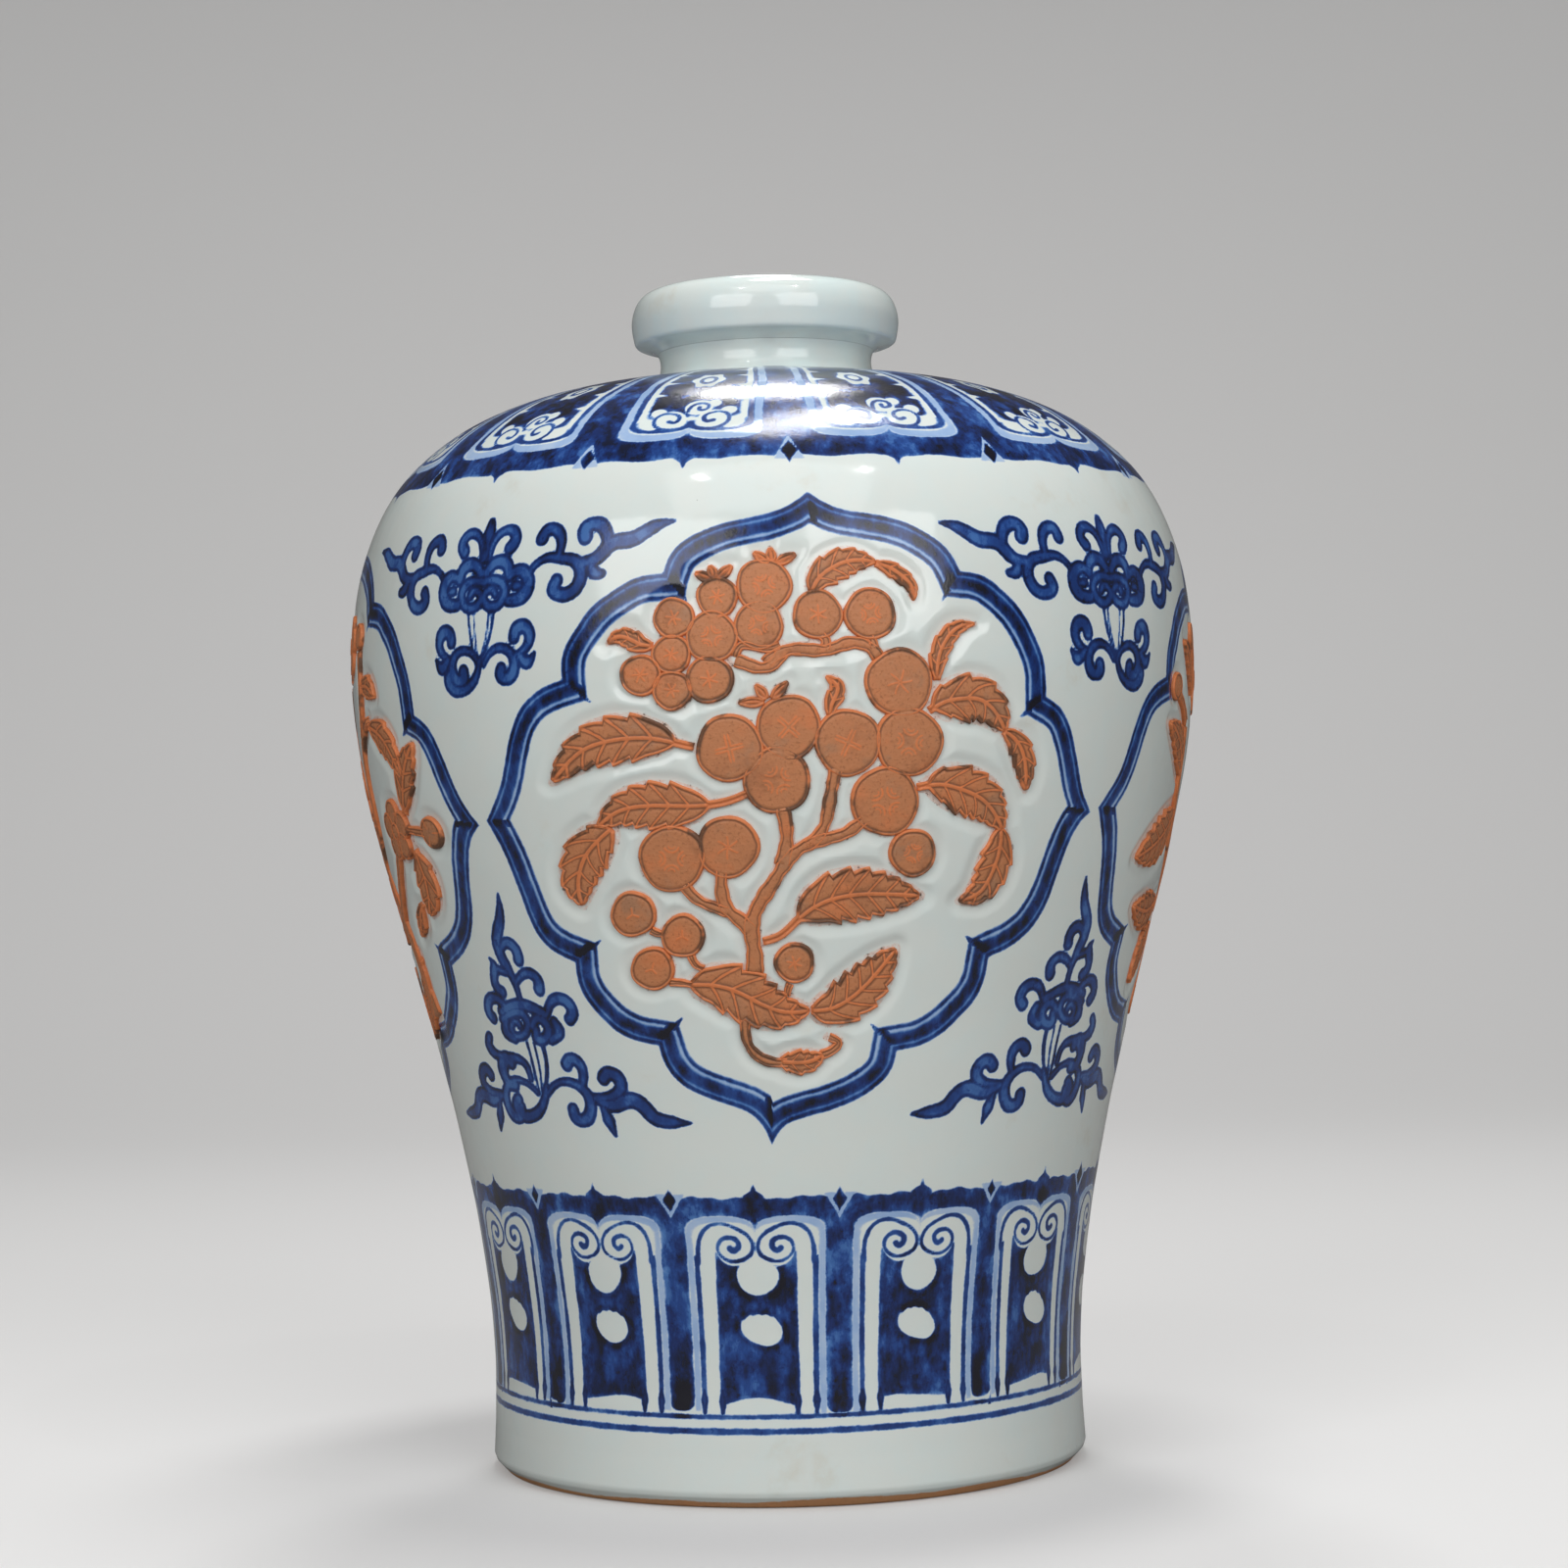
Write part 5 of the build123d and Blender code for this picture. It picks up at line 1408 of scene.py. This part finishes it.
fruits = []
for seed, (across, up, share) in enumerate(FRUITS):
    radius = share * PANEL_HALF_WIDTH
    centre = np.array([across, up]) * PANEL_SCALE
    top = fruit_top(seed, radius, FRUIT_MARKS[seed])
    fruits.append((True, disc_sprig(centre, radius, 0.03 * (seed % 4), top)))
fruit_spray = {
    "fruits": fruits,
    "calyxes": [(False, leaf_sprig(*tip, CALYX_LIFT, CALYX_ROWS)) for tip in CROWN_LEAVES],
    "leaves": [(False, leaf_sprig(*leaf, LEAF_LIFT)) for leaf in FRUIT_LEAVES],
    "branches": [(False, branch_sprig(*branch, BRANCH_LIFT)) for branch in FRUIT_BRANCHES],
}
lay_spray("front", PANEL_AZIMUTH, fruit_spray)
lay_spray("back", PANEL_AZIMUTH + 180, fruit_spray)

# Blossom branches: the two side panels carry a blossoming branch pressed from the same clay. It has
# five open blossoms of five petals round a heart, with buds, leaves and a forked branch, laid on in
# the same way.
PETALS = 5
PETAL_OUT, PETAL_RADIUS, HEART_RADIUS, HEART_LIFT = 0.56, 0.46, 0.30, 0.12


def petal_top(seed):
    """The face of a blossom's petal: hollowed, with short cuts that run out from the heart."""
    def top(share, angle):
        rays = groove(np.abs(np.sin(2.5 * angle + seed)) * share * 4.0, 0, 0.35)
        rays = rays * smooth_share(share, 0.2, 0.4)
        return 0.02 + 0.10 * share ** 2 + 0.06 * rays, rays * 0.8, 1.0 + 0 * angle
    return top


def heart_top(seed):
    """The heart of a blossom: a raised boss with a ring of small pits."""
    def top(share, angle):
        pits = groove(share, 0.62, 0.14) * (0.5 + 0.5 * np.cos(7 * angle + seed))
        return 0.26 - 0.1 * share ** 2 - 0.2 * pits, 0 * pits, 1.0 + 0 * angle
    return top


def bud_top(seed):
    """The face of a bud: a small dome with three raised lines from its tip."""
    def top(share, angle):
        lines = groove(np.abs(np.sin(1.5 * angle + seed)) * share * 4.0, 0, 0.35)
        lines = lines * smooth_share(share, 0.1, 0.3)
        return 0.16 - 0.1 * share ** 2 + 0.06 * lines, lines * 0.8, 1.0 + 0 * angle
    return top


blossoms, buds = [], []
for seed, (across, up, share) in enumerate(BLOSSOMS):
    radius = share * PANEL_HALF_WIDTH
    centre = np.array([across, up]) * PANEL_SCALE
    for petal in range(PETALS):
        way = math.radians(90 + 72 * petal)
        middle = centre + radius * PETAL_OUT * np.array([math.cos(way), math.sin(way)])
        blossoms.append((True, disc_sprig(middle, radius * PETAL_RADIUS, 0.02 * petal,
                                          petal_top(seed + petal), 14, 32)))
    heart = disc_sprig(centre, radius * HEART_RADIUS, HEART_LIFT, heart_top(seed), 12, 28)
    blossoms.append((True, heart))
for seed, (across, up, share) in enumerate(BUDS):
    centre = np.array([across, up]) * PANEL_SCALE
    buds.append((True, disc_sprig(centre, share * PANEL_HALF_WIDTH, 0.0, bud_top(seed), 16, 36)))
blossom_spray = {
    "blossoms": blossoms,
    "buds": buds,
    "leaves": [(False, leaf_sprig(*leaf, LEAF_LIFT)) for leaf in SIDE_LEAVES],
    "branches": [(False, branch_sprig(*branch, BRANCH_LIFT)) for branch in SIDE_BRANCHES],
}
lay_spray("right", PANEL_AZIMUTH + 90, blossom_spray)
lay_spray("left", PANEL_AZIMUTH + 270, blossom_spray)

# Stage: a plain pale floor that sweeps up behind, large soft lamps with two small ones for the
# glints on the glaze, a faint even light from all round, and the camera where the photograph had
# it. Lengths are in metres here.
FLOOR = (0.26, 0.255, 0.25)
FLOOR_SEEN = (0.57, 0.565, 0.56)
FLOOR_GLOW = 0.34
FLOOR_ROWS, FLOOR_COLUMNS, FLOOR_HALF_WIDTH, SWEEP_START = 60, 9, 4.0, 1.2
floor_recipe = Recipe("pale_floor")
seen = floor_recipe.add("ShaderNodeLightPath").outputs["Is Camera Ray"]
floor_shader = floor_recipe.add(
    "ShaderNodeBsdfPrincipled", Base_Color=floor_recipe.mix(seen, FLOOR, FLOOR_SEEN),
    Roughness=0.75, Emission_Color=FLOOR_SEEN,
    Emission_Strength=floor_recipe.times(seen, FLOOR_GLOW))
sweep = smooth_through([
    (-3.0, 0.0), (-1.5, 0.0), (1.2, 0.0), (1.9, 0.06), (2.4, 0.35), (2.7, 0.9), (2.8, 3.0),
], FLOOR_ROWS)
sweep[:, 1] = np.where(sweep[:, 0] < SWEEP_START, 0.0, np.maximum(sweep[:, 1], 0.0))
sideways = np.linspace(-FLOOR_HALF_WIDTH, FLOOR_HALF_WIDTH, FLOOR_COLUMNS)
floor_points = np.stack([
    np.repeat(sideways[None, :], FLOOR_ROWS, axis=0),
    np.repeat(sweep[:, :1], FLOOR_COLUMNS, axis=1),
    np.repeat(sweep[:, 1:], FLOOR_COLUMNS, axis=1),
], axis=-1).reshape(-1, 3)
floor = new_piece("studio_floor", floor_points,
                  grid_faces(FLOOR_ROWS, FLOOR_COLUMNS, False).tolist(), unit=1.0)
floor.data.materials.append(floor_recipe.finish(floor_shader.outputs[0]))

# The lamps: name, place, the height on the axis that it faces, its width and depth, and its watts
LAMPS = [
    ("lamp_above", (0.13, 0.15, 1.65), 0.25, (0.26, 0.60), 9.0),
    ("lamp_high", (0.0, -1.45, 2.25), 0.25, (2.0, 1.0), 9.0),
    ("lamp_behind", (0.0, 1.45, 2.25), 0.25, (0.45, 0.45), 16.0),
    ("lamp_left", (-1.15, -2.05, 1.25), 0.2, (1.5, 1.5), 24.0),
    ("lamp_right", (1.15, -2.05, 1.25), 0.2, (1.5, 1.5), 24.0),
    ("lamp_front", (0.0, -2.5, 0.75), 0.2, (2.0, 1.0), 2.0),
    ("glint_left", (-0.40, -0.85, 1.60), 0.25, (0.03, 0.03), 0.5),
    ("glint_right", (0.55, -0.73, 1.65), 0.25, (0.03, 0.03), 0.9),
]
for name, place, faced, (width, depth), watts in LAMPS:
    lamp = bpy.data.lights.new(name, "AREA")
    lamp.shape = "RECTANGLE"
    lamp.size, lamp.size_y = width, depth
    lamp.energy = watts
    holder = bpy.data.objects.new(name, lamp)
    holder.location = place
    aim = Vector((0.0, 0.0, faced)) - Vector(place)
    holder.rotation_euler = aim.to_track_quat("-Z", "Y").to_euler()
    bpy.context.scene.collection.objects.link(holder)

WORLD_LIGHT, WORLD_SEEN = 0.13, 0.40
world = bpy.data.worlds.new("soft_surround")
bpy.context.scene.world = world
world.use_nodes = True
background = world.node_tree.nodes["Background"]
background.inputs["Color"].default_value = (1.0, 1.0, 1.0, 1.0)
sight = world.node_tree.nodes.new("ShaderNodeLightPath")
level = world.node_tree.nodes.new("ShaderNodeMath")
level.operation = "MULTIPLY_ADD"
level.inputs[1].default_value = WORLD_SEEN - WORLD_LIGHT
level.inputs[2].default_value = WORLD_LIGHT
world.node_tree.links.new(sight.outputs["Is Camera Ray"], level.inputs[0])
world.node_tree.links.new(level.outputs[0], background.inputs["Strength"])

CAMERA_PLACE = Vector((0.00295, -1.1776, 0.2036))
CAMERA_PITCH, CAMERA_ROLL = math.radians(1.284), math.radians(1.298)
CAMERA_LENS, SENSOR_WIDTH = 78.55, 36.0
camera = bpy.data.cameras.new("photo_camera")
camera.sensor_fit = "HORIZONTAL"
camera.sensor_width = SENSOR_WIDTH
camera.lens = CAMERA_LENS
camera.clip_start, camera.clip_end = 0.05, 50.0
holder = bpy.data.objects.new("photo_camera", camera)
ahead = Vector((0.0, math.cos(CAMERA_PITCH), math.sin(CAMERA_PITCH)))
level_up = Vector((0.0, -math.sin(CAMERA_PITCH), math.cos(CAMERA_PITCH)))
level_right = Vector((1.0, 0.0, 0.0))
right = level_right * math.cos(CAMERA_ROLL) - level_up * math.sin(CAMERA_ROLL)
up = level_right * math.sin(CAMERA_ROLL) + level_up * math.cos(CAMERA_ROLL)
pose = Matrix((right, up, -ahead)).transposed().to_4x4()
pose.translation = CAMERA_PLACE
holder.matrix_world = pose
bpy.context.scene.collection.objects.link(holder)
bpy.context.scene.camera = holder
bpy.context.scene.view_settings.view_transform = "Standard"
